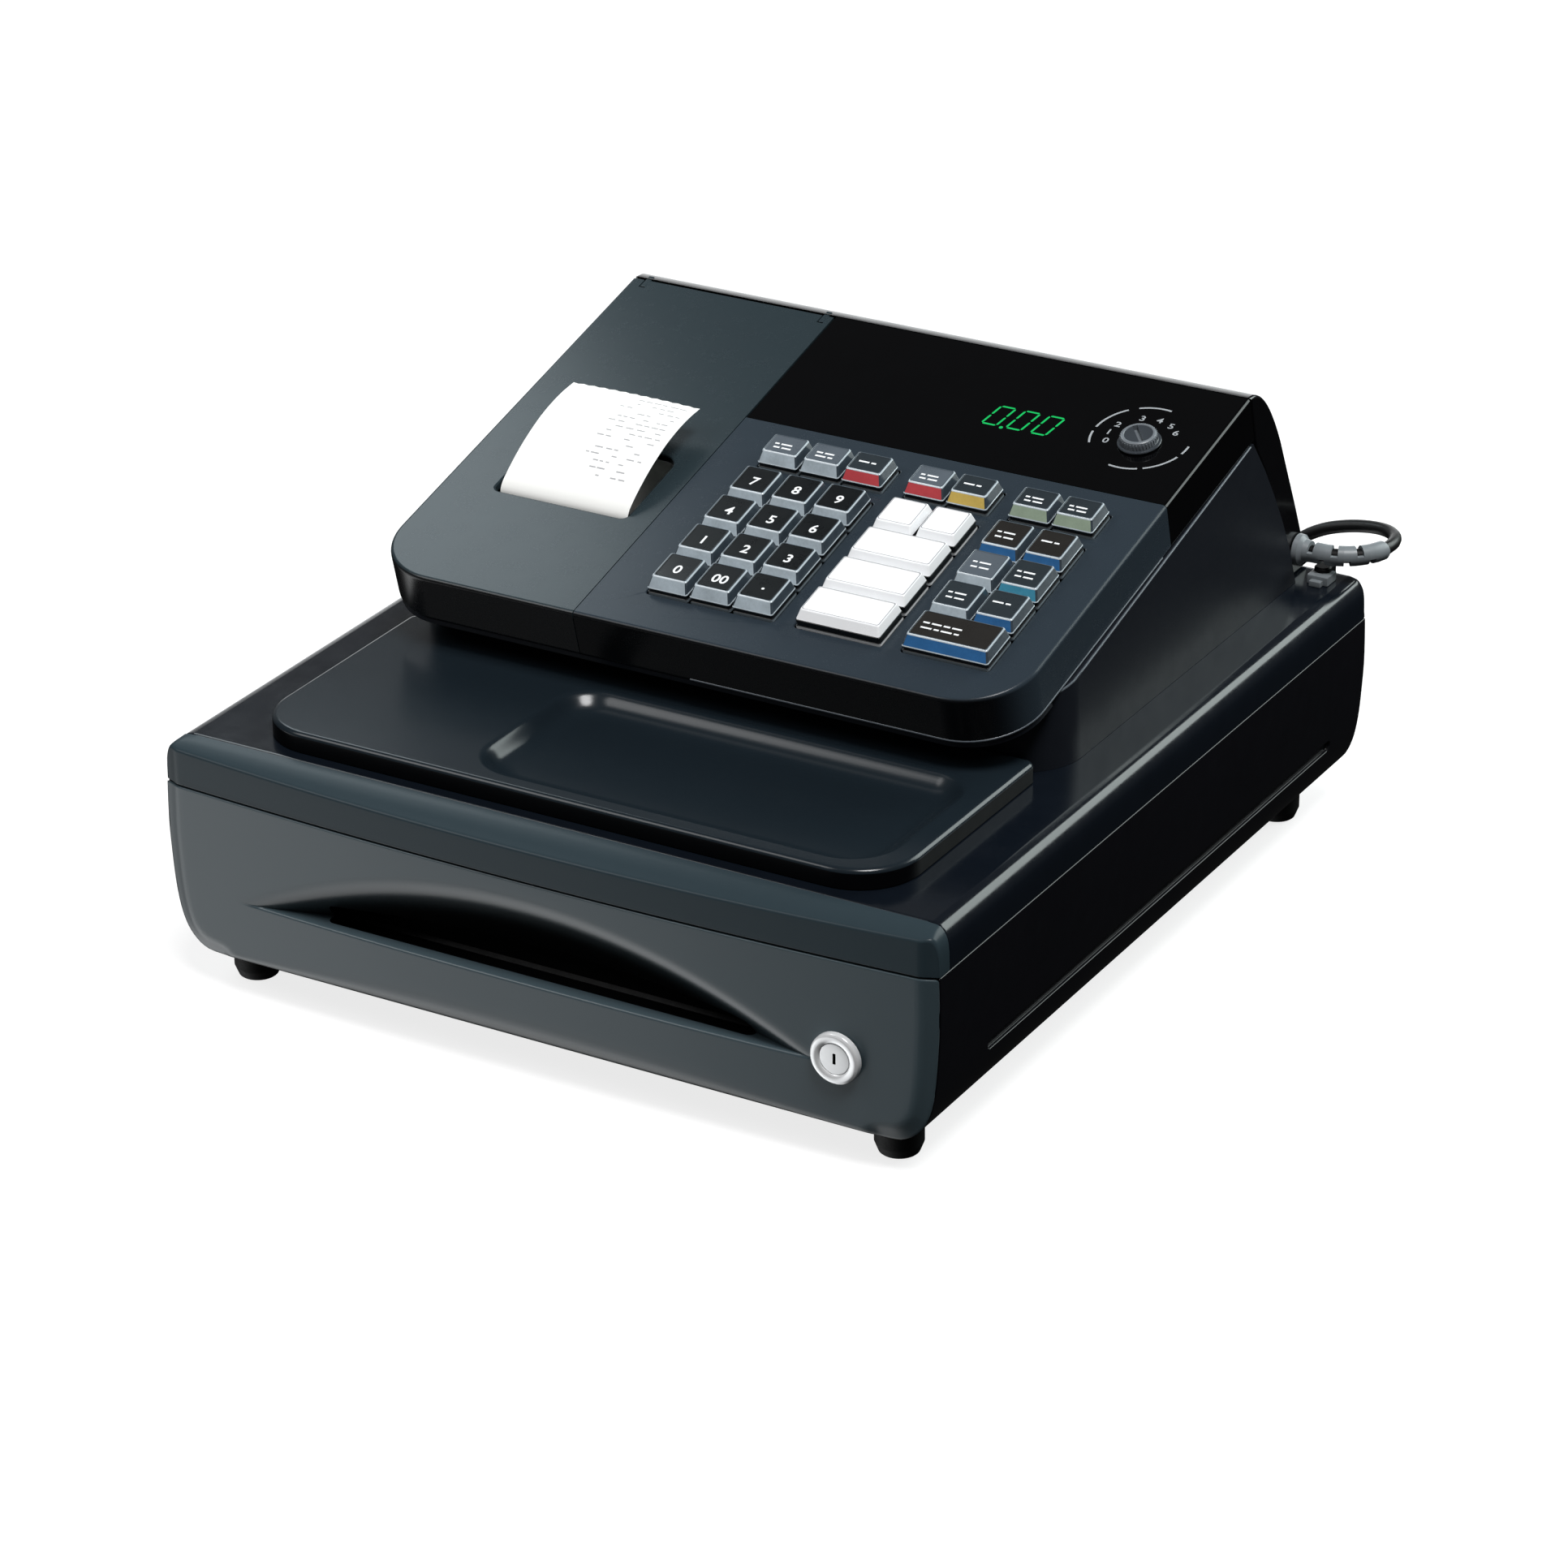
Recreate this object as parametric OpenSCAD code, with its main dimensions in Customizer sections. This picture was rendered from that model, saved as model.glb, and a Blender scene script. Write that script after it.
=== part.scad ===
// Compact electronic cash register with receipt printer and locking cash drawer.
// Frame: +X right, +Y back, +Z up, origin at the centre of the footprint on the table.

/* [Drawer unit] */
// Half width of the drawer unit at its belly
body_half = 162; // [156:0.5:168]
// Wall thickness of the drawer unit's shells
wall = 3.5; // [2.5:0.5:4]
// How far the front panel bows out at its middle
bow = 5.5; // [4:0.5:6]
// Depth of the slot along each side
groove_d = 1.5; // [1:0.25:2]
// Radius of each rubber foot
foot_r = 9; // [7:0.5:11]

/* [Keyboard] */
// Key pitch across the keyboard
pitch_u = 18.1; // [17.8:0.1:18.4]
// Key pitch from row to row
pitch_v = 19.3; // [19:0.1:19.6]
// Gap between neighbouring key caps
key_gap = 1; // [0.8:0.1:1.4]
// Key travel
travel = 2.5; // [1.5:0.1:2.6]

/* [Upper case] */
// Half width of the keyboard case
case_half = 135.8; // [135:0.1:137]
// Height of the keyboard case's side walls
cover_h = 19.3; // [18.5:0.1:20]
// Thickness of the upper shells
shell = 2.5; // [2:0.1:3]

/* [Cash tray] */
// Number of coin cups across the tray
coin_cols = 4; // [3:1:5]

/* [Lock] */
// Radius of the lock's face
lock_r = 9.8; // [9:0.1:11]

/* [Hidden] */
$fn = 48;

note_cols = 3;         // note compartments, one clip over each
T = 14.5;              // slope of the keyboard face, degrees
y_front = -177.5;      // front of the bowed panel at its middle
y_back = 177.5;        // back of the drawer unit
y_seam = -169.5;       // where the housing meets the front panel at its sides
z_floor = 14;          // underside of the drawer unit
z_split = 81;          // seam between housing and its top
z_top = 98;            // top of the drawer unit

col_a = [-14.3, -14.3 + pitch_u, -14.3 + 2 * pitch_u];
col_b = [48.4, 48.4 + pitch_u];
col_c = [92.4, 92.4 + pitch_u];
row = [29.3, 29.3 + pitch_v, 29.3 + 2 * pitch_v, 29.3 + 3 * pitch_v];
row_top = 110.5;
key_w = pitch_u - key_gap;
key_d = pitch_v - key_gap;
key_d_top = 14.6;
wide_w = key_w + pitch_u;

// ---- helpers ----
module along_y(y0, y1) { translate([0, y1, 0]) rotate([90, 0, 0]) linear_extrude(y1 - y0) children(); }
module along_x(x0, x1) { translate([x0, 0, 0]) rotate([90, 0, 90]) linear_extrude(x1 - x0) children(); }
module box(x0, x1, y0, y1, z0, z1) { translate([x0, y0, z0]) cube([x1 - x0, y1 - y0, z1 - z0]); }
module slope() { translate([0, -76, 136.9]) rotate([T, 0, 0]) children(); }
// rounded rectangle, rf at its front corners and rr at its rear ones
module rrect(x0, x1, y0, y1, rf, rr) {
  translate([x0, y0 + rf]) square([x1 - x0, y1 - rr - y0 - rf]);
  translate([x0 + rf, y0]) square([x1 - x0 - 2 * rf, rf + 1]);
  translate([x0 + rr, y1 - rr - 1]) square([x1 - x0 - 2 * rr, rr + 1]);
  for (x = [x0 + rf, x1 - rf]) translate([x, y0 + rf]) circle(r = rf);
  for (x = [x0 + rr, x1 - rr]) translate([x, y1 - rr]) circle(r = rr);
}
function mirrored(p) = [for (i = [len(p) - 1:-1:0]) [-p[i][0], p[i][1]]];
function shut(p) = concat(p, mirrored(p));

// barrel-shaped side of the drawer unit: inset from the belly, height
side = [[22, 14], [15, 15], [9.5, 18], [5.5, 23], [3, 30], [1.4, 40], [0.5, 52], [0, 64], [0.2, 76], [0.4, 81]];
cap_side = [[0.4, 81], [0.6, 88], [1.1, 92], [2.4, 95], [4.5, 97.2], [7.5, 98]];
function side_pts(d) = [for (p = side) [body_half - p[0] - d, max(p[1], z_floor + d)]];
function cap_pts(d) = [for (p = cap_side) [body_half - p[0] - d, min(p[1], z_top - d)]];
// front of the panel seen from above, set back by d
function bow_y(x) = y_front + bow * pow(x / (body_half - 1), 2);
x_end = body_half - 6; y_end = bow_y(x_end);
function plan_front(d, yb) = concat(
  [for (i = [0:12]) let (x = x_end * (i / 6 - 1)) [x, bow_y(x) + d]],
  [[body_half - 2.7 - d, y_end + 0.4 + d], [body_half - 0.8 - d, y_end + 1.2 + d], [body_half - d, y_end + 2.2 + d], [body_half - d, yb],
   [d - body_half, yb], [d - body_half, y_end + 2.2 + d], [d - body_half + 0.8, y_end + 1.2 + d], [d - body_half + 2.7, y_end + 0.4 + d]]);

// ---- drawer unit ----
module drawer_housing() color([0.06, 0.07, 0.09]) {
  difference() {
    along_y(y_seam, y_back) polygon(shut(side_pts(0)));
    along_y(y_seam - 1, y_back - wall) polygon(shut(concat(side_pts(wall), [[body_half - 0.4 - wall, 90]])));
    for (s = [-1, 1]) translate([s * (body_half - 1.8 - groove_d / 2 + 1.5), 9, 36.8]) cube([groove_d + 3, 280, 3.2], center = true);
  }
  // runners for the drawer box, and the sill that the lock's tongue drops behind
  for (s = [-1, 1]) box(s * 120 - 5, s * 120 + 5, -140, 170, 17, 21.6);
  box(112, 114, -156, -151.5, 17, 21);
  box(134, 136, -156, -151.5, 17, 21);
  box(112, 136, -155, -151.5, 17, 21);
  // bracket and pin of the latch
  difference() {
    union() {
      box(-8.5, -5.5, 162, y_back - wall + 0.5, 43, 53);
      box(5.5, 8.5, 162, y_back - wall + 0.5, 43, 53);
    }
    translate([-9, 160, 54]) rotate([0, 90, 0]) cylinder(r = 3, h = 18);
  }
  translate([-7, 167, 48]) rotate([0, 90, 0]) cylinder(r = 2, h = 14);
}

module housing_top() color([0.06, 0.07, 0.09]) {
  difference() {
    along_y(-162, y_back) polygon(shut(cap_pts(0)));
    along_y(-163, y_back - wall) polygon(shut(concat([[body_half - 0.4 - wall, 80]], cap_pts(wall))));
  }
  // ribs under the deck
  for (x = [-45, 45]) box(x - 1.5, x + 1.5, -150, 172, 88, z_top - wall + 0.5);
}

module front_band() color([0.28, 0.32, 0.35]) {
  difference() {
    intersection() {
      translate([0, 0, 81.4]) linear_extrude(20) polygon(plan_front(0, -162.4));
      along_y(-180, -160) polygon(shut([for (p = [[0.4, 81], [0.5, 88], [1, 91.5], [2.2, 94.3], [4.4, 96.9], [7.5, z_top]]) [body_half - p[0], p[1]]]));
      along_x(-170, 170) polygon([[-180, 81], [-180, 93.4], [-177.4, 93.4], [-174.5, 94.6], [-170, 96.3], [-166, 97.4], [-162, z_top], [-162, 81]]);
    }
    box(-157, 157, -170, -160, 80, 92.5);
  }
}

module rubber_feet() color([0.05, 0.05, 0.05]) difference() {
  for (x = [-137, 137], y = [-153.5, 152.5]) translate([x, y, 0]) {
    cylinder(r1 = foot_r - 1.5, r2 = foot_r, h = 4);
    translate([0, 0, 4]) cylinder(r = foot_r, h = 12);
  }
  // each foot's top follows the underside of the housing
  along_y(y_seam, y_back) polygon(shut(side_pts(0)));
}

module tray_plate() color([0.14, 0.17, 0.21]) {
  difference() {
    union() {
      translate([0, 0, z_top + 0.1]) linear_extrude(7.9) rrect(-134, 134, -157, -46.6, 24, 4);
    }
    // coin dish
    translate([0, 0, 99.8]) linear_extrude(10) rrect(-45, 124, -149, -72, 16, 12);
  }
}

// ---- upper case ----
function slab_z(y) = 187.5 + (y - 119.6) * tan(T);
seam = [[123, 167.9], [126, 163], [134, 152], [141, 140], [147, 127], [154, 115], [158.4, 98.4]];

module lower_case() color([0.16, 0.18, 0.21]) {
  difference() {
    intersection() {
      along_x(-140, 140) polygon(concat([[-46, 98.1], [-46, slab_z(-46) - cover_h / cos(T) - 0.4],
        [117.6, slab_z(117.6) - cover_h / cos(T) - 0.4]], seam));
      along_y(-60, 200) polygon([[-139.2, 98], [139.2, 98], [case_half + 0.2, 168], [-case_half - 0.2, 168]]);
      translate([0, 0, 90]) linear_extrude(90) rrect(-140, 140, -46, 190, 24, 2);
    }
    intersection() {
      along_x(-140, 140) polygon([[-43.5, 100.8], [-43.5, 180], [190, 220], [190, 100.8]]);
      along_y(-60, 200) polygon([[-136.7, 98], [136.7, 98], [case_half - 2.3, 168], [case_half - 2.3, 220], [2.3 - case_half, 220], [2.3 - case_half, 168]]);
      translate([0, 0, 90]) linear_extrude(130) rrect(-137.5, 137.5, -43.5, 195, 21.5, 2);
    }
  }
  // roof under the keyboard's overhang
  slope() translate([0, 0, -cover_h - 2.7]) linear_extrude(2.5) intersection() {
    rrect(-case_half + 0.3, case_half - 0.3, 0.6, 80, 26.5, 1);
    translate([-150, 0]) square([300, 33.5]);
  }
  // posts that carry the board
  for (x = [-30, 30, 122]) box(x - 3, x + 3, -20, -14, 100, 134.4);
  for (x = [-30, 122]) box(x - 3, x + 3, 78, 84, 100, 159.7);
}

module slab_shell(u0, u1, v0, v1) slope() intersection() {
  difference() {
    translate([0, 0, -cover_h]) linear_extrude(cover_h) rrect(-case_half, case_half, 0, 206, 27, 3);
    translate([0, 0, -cover_h - 1]) linear_extrude(cover_h + 1 - shell) rrect(-case_half + shell, case_half - shell, shell, 215, 24.5, 2);
  }
  box(u0, u1, v0, v1, -30, 5);
}

// keyboard wells: left, right, front, back
wells = [
  [col_a[0] - pitch_u / 2, col_a[2] + pitch_u / 2, row[0] - pitch_v / 2, row[3] + pitch_v / 2],
  [col_b[0] - pitch_u / 2, col_b[1] + pitch_u / 2, row[0] - pitch_v / 2, row[3] + pitch_v / 2],
  [col_c[0] - pitch_u / 2, col_c[1] + pitch_u / 2, row[0] - pitch_v / 2, row[3] + pitch_v / 2],
  [col_a[0] - pitch_u / 2, col_a[2] + pitch_u / 2, row_top - 7.8, row_top + 7.8],
  [col_b[0] - pitch_u / 2, col_b[1] + pitch_u / 2, row_top - 7.8, row_top + 7.8],
  [col_c[0] - pitch_u / 2, col_c[1] + pitch_u / 2, row_top - 7.8, row_top + 7.8]];
mid_b = (col_b[0] + col_b[1]) / 2;
mid_c = (col_c[0] + col_c[1]) / 2;
stems = concat(
  [for (u = col_a, v = row) [u, v]], [for (u = col_a) [u, row_top]],
  [for (u = col_b) [u, row[3]]], [for (i = [0:2]) [mid_b, row[i]]], [for (u = col_b) [u, row_top]],
  [for (u = col_c, i = [1:3]) [u, row[i]]], [[mid_c, row[0]]], [for (u = col_c) [u, row_top]]);

module top_cover() color([0.25, 0.28, 0.31]) {
  difference() {
    union() {
      slab_shell(-43.3, 140, -5, 130.3);
      slope() for (w = wells) box(w[0] - 2, w[1] + 2, w[2] - 2, w[3] + 2, -6.2, -1);
      // ledge under the display window
      slope() difference() {
        box(-43.3, case_half - shell - 0.4, 128.5, 199, -5, -shell - 0.2);
        box(24, 82, 150, 176, -8, 0);
        translate([108.5, 163, -10]) cylinder(r = 7, h = 12);
      }
      slope() box(-43.3, case_half - shell - 0.4, 124, 130.3, -5, -1);
    }
    slope() for (w = wells) box(w[0], w[1], w[2], w[3], -1.2 - travel, 1);
    // guide hole of each key stem
    slope() for (s = stems) box(s[0] - 6.3, s[0] + 6.3, s[1] - 5.3, s[1] + 5.3, -10, 1);
  }
}

module display_window() color([0.01, 0.01, 0.015]) {
  difference() {
    slab_shell(-42.9, 140, 130.6, 201.7);
    slope() translate([108.5, 163, -30]) cylinder(r = 5.08, h = 40);
  }
}

// hinge line of the printer cover, on the slope
hinge_v = 199; hinge_w = -2.2;
module printer_cover() color([0.3, 0.34, 0.37]) {
  difference() {
    union() {
      difference() {
        slab_shell(-140, -43.7, -5, 200.9);
        // relief of the side wall behind the hinge line, and notches for the lugs
        slope() box(-140, -130.6, 195, 202, -30, -6);
        slope() box(-130.4, -127.2, 196, 202, -6, 1);
        slope() box(-49, -45.8, 196, 202, -6, 1);
      }
      // tear bar along the front of the paper opening
      slope() box(-114, -54, 54.8, 57.6, -6, -2);
      slope() for (u = [-126.6, -57.6]) translate([u, hinge_v, hinge_w]) rotate([0, 90, 0]) cylinder(r = 2.2, h = 8);
    }
    // paper opening
    slope() box(-113.5, -54.5, 57.6, 98, -10, 5);
    slope() for (u = [-127.6, -58.3]) translate([u, hinge_v, hinge_w]) rotate([0, 90, 0]) cylinder(r = 1.06, h = 10);
  }
}

rear_out = [[119.8, 187.5], [124, 187.3], [129, 185.4], [134, 181.6], [138.5, 176.6], [143, 170.3], [148, 161.8],
  [154, 149.3], [160, 136.8], [166, 124], [171.5, 111.6], [177.4, 98.4]];
rear_in = [[100, 184.6], [124, 184.3], [128, 182.9], [132.2, 179.7], [136.4, 175], [140.8, 168.8], [145.7, 160.5],
  [151.7, 148], [157.7, 135.6], [163.7, 122.8], [169.2, 110.4], [173.4, 101], [100, 101]];
module rear_cover() color([0.02, 0.02, 0.03]) {
  difference() {
    along_x(-case_half, case_half) polygon(concat(rear_out,
      [[159, 98.4], [154.6, 115], [147.6, 127.2], [141.6, 140.2], [134.6, 152.2], [126.9, 163.2], [124.6, 168.8]]));
    along_x(-case_half + shell, case_half - shell) polygon(rear_in);
    translate([120, 165.5, 109]) rotate([0, 90, 0]) cylinder(r = 4.6, h = 30);
  }
  // lugs and pins of the printer cover's hinge, and the corner behind its side wall
  slope() for (u = [-130, -48.6]) box(u, u + 2.4, 197, 204.4, -3.8, -0.4);
  slope() translate([-128, hinge_v, hinge_w]) rotate([0, 90, 0]) cylinder(r = 1, h = 9.6);
  slope() translate([-58, hinge_v, hinge_w]) rotate([0, 90, 0]) cylinder(r = 1, h = 10);
  slope() box(-case_half, -case_half + shell, 195.8, 203.5, -cover_h, -7);
}

module mode_dial() color([0.5, 0.52, 0.54]) slope() translate([108.5, 163, 0]) {
  difference() {
    union() {
      translate([0, 0, 0.3]) cylinder(r = 8.4, h = 4.2);
      translate([0, 0, -9]) cylinder(r = 5, h = 9.5);
      translate([0, 0, -9]) cylinder(r = 6.4, h = 2);
    }
    box(-1, 1, -5.5, 5.5, 2, 6);
    rotate([0, 0, 28]) box(-0.7, 0.7, 4.8, 9, 2.9, 6);
  }
}

module main_board() color([0.1, 0.35, 0.2]) {
  slope() {
    box(-38, 129, 14, 196, -16.2, -14.6);
    // a rubber dome under each key
    for (s = stems) translate([s[0], s[1], -14.8]) cylinder(r1 = 4, r2 = 3, h = 1.2);
    // display module and mode switch
    box(26, 80, 151, 175, -14.8, -6);
    translate([108.5, 163, -14.8]) cylinder(r = 9, h = 5.2);
    box(0, 20, 150, 170, -14.8, -10);
  }
}

// ---- printer ----
py = -8.8; pz = 140.8;      // platen axis
ry = 62; rz = 133.5;        // paper roll axis
module printer_mechanism() color([0.3, 0.31, 0.33]) {
  difference() {
    union() {
      for (x = [-118.5, -54.5]) along_x(x, x + 3) polygon([[-30, 100.9], [-30, 118], [-20, 134], [-18, 142], [-4, 146.5], [4, 141], [12, 122], [ry - 8, 124], [ry - 8, rz + 6], [ry + 8, rz + 6], [ry + 8, 100.9]]);
      box(-118.5, -51.5, -28, 68, 100.9, 103);
      // print head bar in front of the roller
      box(-116, -54, -23, -17.4, 126, 140);
      // round bosses that carry the paper roll
      translate([-116, ry, rz]) rotate([0, 90, 0]) cylinder(r = 5.9, h = 5);
      translate([-59, ry, rz]) rotate([0, 90, 0]) cylinder(r = 5.9, h = 5);
    }
    translate([-120, py, pz]) rotate([0, 90, 0]) cylinder(r = 2.56, h = 80);
  }
  // drive motor
  translate([-49, -2, 113]) rotate([0, -90, 0]) cylinder(r = 10, h = 2.6);
  translate([-36, -2, 113]) rotate([0, -90, 0]) cylinder(r = 10, h = 13.5);
}

module platen_roller() color([0.08, 0.08, 0.08]) translate([0, py, pz]) rotate([0, 90, 0]) {
  translate([0, 0, -114]) cylinder(r = 6.2, h = 58);
  translate([0, 0, -121]) cylinder(r = 2.5, h = 72);
  translate([0, 0, -51]) cylinder(r = 7.5, h = 3);
}

module paper_roll() color([0.95, 0.95, 0.93]) translate([0, ry, rz]) rotate([0, 90, 0])
  translate([0, 0, -114.5]) difference() {
    cylinder(r = 29, h = 59);
    translate([0, 0, -1]) cylinder(r = 6, h = 61);
  }

// receipt: seen from the side, out of the tear bar and curled back over the opening
rec = [[58.6, -7], [58.4, -2], [58.8, 1.5], [60.6, 4.2], [64.5, 6.4], [70, 8.2], [76, 9.4], [84, 10.8], [92, 11.7], [101, 12], [109, 11.7], [117, 10.8]];
module receipt() color([0.97, 0.97, 0.96]) slope() translate([-111, 0, 0]) rotate([90, 0, 90])
  linear_extrude(56.5) polygon(concat(rec, [for (i = [len(rec) - 1:-1:0])
    let (a = rec[max(i - 1, 0)], b = rec[min(i + 1, len(rec) - 1)], l = norm(b - a))
    [rec[i][0] + 0.35 * (b[1] - a[1]) / l, rec[i][1] - 0.35 * (b[0] - a[0]) / l]]));

// ---- drawer ----
module drawer_front() color([0.3, 0.34, 0.37]) {
  difference() {
    union() {
      intersection() {
        translate([0, 0, 13]) linear_extrude(67.6) polygon(plan_front(0, y_seam - 0.4));
        along_y(-180, -160) polygon(shut(side_pts(0)));
        along_x(-170, 170) polygon([[-180, 82], [-180, 30], [-177.5, 26], [-176.4, 20.5], [-174.4, 17], [-171.5, 14.8], [-168, 14], [-160, 14], [-160, 82]]);
      }
      box(-138, 138, -170.5, -150, 22, 76);
    }
    // scoop: a leaning round hollow above the pull edge, and the finger pocket behind it
    intersection() {
      translate([-6, y_front, 71 - 434 / cos(54.5)]) rotate([90 - 54.5, 0, 0]) cylinder(r = 434, h = 1100, $fn = 240);
      box(-140, 122, -185, -150.9, 40.4, 75);
    }
    box(-92, 88, -171.5, -153, 33, 47);
    // lock hole
    translate([124, -140, 43.4]) rotate([90, 0, 0]) cylinder(r = 8.1, h = 45);
  }
}

module drawer_box() color([0.1, 0.11, 0.12]) {
  difference() {
    box(-143, 143, -149.8, 150, 22, 72);
    box(-140.5, 140.5, -143.5, 147.5, 24.5, 80);
    // room for the lock and its tongue
    box(96, 141, -151, -145, 10, 80);
  }
  box(-143, 143, -146, -143.4, 24, 72);
  // shelf that the latch drops into
  difference() {
    box(-14, 14, 149, 161, 38.5, 41);
    box(-6, 6, 152.4, 159.4, 35, 45);
  }
}

tx = 139; tw = 2.2;
cup_w = (2 * tx - tw) / coin_cols;
note_w = (2 * tx - tw) / note_cols;
module till_insert() color([0.12, 0.13, 0.14]) {
  difference() {
    box(-tx, tx, -142.4, 100, 25, 64);
    for (i = [0:coin_cols - 1], y = [-140.2, -101.8]) box(-tx + tw + i * cup_w, -tx + (i + 1) * cup_w, y, y + 36.2, 28, 70);
    for (i = [0:note_cols - 1]) box(-tx + tw + i * note_w, -tx + (i + 1) * note_w, -63.4, 97.8, 28, 70);
  }
  // ears and pins of the note clips
  for (i = [0:note_cols - 1]) translate([-tx + tw / 2 + (i + 0.5) * note_w, 0, 0]) {
    for (s = [-1, 1]) box(s * 13 - 1.5, s * 13 + 1.5, 86, 99, 54, 67);
    translate([-12.5, 90, 61]) rotate([0, 90, 0]) cylinder(r = 1.5, h = 25);
  }
}

module note_clip(i) color([0.2, 0.22, 0.24]) translate([-tx + tw / 2 + (i + 0.5) * note_w, 0, 0]) difference() {
  union() {
    translate([-11, 90, 61]) rotate([0, 90, 0]) cylinder(r = 3.6, h = 22);
    along_x(-8, 8) polygon([[90, 64.4], [84, 64.2], [40, 41], [17, 30], [8, 30.6], [7, 33], [16, 33.6], [39, 44.6], [80, 66.4], [90, 64.6], [92, 60], [88, 58]]);
  }
  translate([-12, 90, 61]) rotate([0, 90, 0]) cylinder(r = 1.56, h = 24);
}
module note_clip_left() note_clip(0);
module note_clip_middle() note_clip(1);
module note_clip_right() note_clip(2);

module lock_bezel() color([0.85, 0.86, 0.87]) translate([124, 0, 43.4]) rotate([90, 0, 0]) difference() {
  union() {
    translate([0, 0, 174.6]) cylinder(r = lock_r, h = 2.7);
    translate([0, 0, 152]) cylinder(r = 8, h = 23);
  }
  translate([0, 0, 150]) cylinder(r = 6.08, h = 30);
}
module lock_plug() color([0.8, 0.81, 0.82]) translate([124, 0, 43.4]) rotate([90, 0, 0]) {
  difference() {
    translate([0, 0, 151]) cylinder(r = 6, h = 25.6);
    box(-0.8, 0.8, -3, 3, 168, 180);
  }
  // tongue, lying flat while the drawer is free to open
  translate([0, 0, 147.2]) cylinder(r = 6, h = 4);
  box(-23.6, 0, -4, 4, 147.2, 150);
}

module drawer_latch() color([0.6, 0.6, 0.58]) difference() {
  union() {
    translate([-4, 167, 48]) rotate([0, 90, 0]) cylinder(r = 4, h = 8);
    box(-4, 4, 154, 167, 46, 50);
    box(-4, 4, 154, 157.4, 42.2, 47);
  }
  translate([-5, 167, 48]) rotate([0, 90, 0]) cylinder(r = 2.06, h = 10);
}

// ---- cord ----
cord_d = 5.2;
loop_c = [146, 186]; loop_r = 20.5; loop_z = 109;
coil_c = [36, 246];
route = [[165.8, 180.7, 109], [166.5, 187, 108.9], [164, 195.6, 108.2], [157.5, 202.8, 107], [148.5, 206.6, 105.4],
  [138, 207.6, 103.2], [128, 207.6, 99.8], [119.4, 207.6, 94.6], [112.6, 207.6, 87.4], [108, 207.6, 78], [105.4, 207.6, 67],
  [104, 207.6, 55], [102.6, 207.6, 43], [100, 207.6, 31], [95, 207.6, 20], [87.4, 207.8, 10.8], [77.6, 208, 5.2], [66, 208.4, 3], [54, 208.6, 2.7]];
lead = [[22, 208.6, 7.6], [10, 208, 7.2], [-2, 207.4, 6.8], [-14, 207.2, 7]];
function tangent(p, i) = let (a = p[max(i - 1, 0)], b = p[min(i + 1, len(p) - 1)]) (b - a) / norm(b - a);
function unit(v) = v / norm(v);
module tube(p, d) {
  n = 8;
  ref = [1, 1, -1] / sqrt(3);
  pts = [for (i = [0:len(p) - 1]) let (t = tangent(p, i), a = unit(cross(t, ref)), b = cross(t, a))
    for (k = [0:n - 1]) p[i] + d / 2 * (cos(360 * k / n) * a + sin(360 * k / n) * b)];
  m = len(p);
  polyhedron(points = pts, faces = concat(
    [[for (k = [n - 1:-1:0]) k]],
    [for (i = [0:m - 2], k = [0:n - 1]) [i * n + k, i * n + (k + 1) % n, (i + 1) * n + (k + 1) % n]],
    [for (i = [0:m - 2], k = [0:n - 1]) [i * n + k, (i + 1) * n + (k + 1) % n, (i + 1) * n + k]],
    [[for (k = [0:n - 1]) (m - 1) * n + k]]));
}
module cord() color([0.03, 0.03, 0.03]) { tube(route, cord_d); tube(lead, cord_d); }
module cord_coil() color([0.03, 0.03, 0.03]) translate([coil_c[0], coil_c[1], 0])
  rotate_extrude($fn = 64) translate([19.6, 0]) square([20.8, 10.6]);
module plug() color([0.04, 0.04, 0.04]) {
  along_y(195, 221) polygon([[-14.2, 5], [-14.2, 9.4], [-30, 14], [-46, 14], [-46, 0.2], [-30, 0.2]]);
  for (y = [198.5, 217.5]) translate([-64, y, 7]) rotate([0, 90, 0]) cylinder(r = 2, h = 19);
}
module strain_relief() color([0.6, 0.62, 0.62]) {
  translate([129, 165.5, loop_z]) rotate([0, 90, 0]) cylinder(r = 4.5, h = 9);
  // flange inside the case, trimmed to the slope of its rear wall
  intersection() {
    translate([126.6, 165.5, loop_z]) rotate([0, 90, 0]) cylinder(r = 6.6, h = 6.3);
    translate([0, -0.25, 0]) along_x(120, 134) polygon(rear_in);
  }
  translate([136, 165.5, loop_z]) rotate([0, 90, 0]) cylinder(r = 6.6, h = 3);
  translate([136, 165.5, loop_z]) rotate([0, 90, 0]) cylinder(r = 4.6, h = 10.2);
  translate([loop_c[0], loop_c[1], loop_z]) rotate([0, 0, -90]) rotate_extrude(angle = 75) translate([loop_r, 0]) circle(r = 4.2, $fn = 32);
}

// ---- keys ----
module key(u, v, w, d) slope() translate([u, v, 0]) {
  box(-w / 2, w / 2, -d / 2, d / 2, -1, 2.4);
  hull() {
    box(-w / 2, w / 2, -d / 2, d / 2, 2.3, 2.4);
    box(-w / 2 + 2, w / 2 - 2, -d / 2 + 3, d / 2 - 1.2, 6.3, 6.4);
  }
  box(-6, 6, -5, 5, -10.4, -0.9);
}
module key_0() color([0.1, 0.12, 0.14]) key(col_a[0], row[0], key_w, key_d);
module key_00() color([0.1, 0.12, 0.14]) key(col_a[1], row[0], key_w, key_d);
module key_point() color([0.1, 0.12, 0.14]) key(col_a[2], row[0], key_w, key_d);
module key_1() color([0.1, 0.12, 0.14]) key(col_a[0], row[1], key_w, key_d);
module key_2() color([0.1, 0.12, 0.14]) key(col_a[1], row[1], key_w, key_d);
module key_3() color([0.1, 0.12, 0.14]) key(col_a[2], row[1], key_w, key_d);
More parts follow.
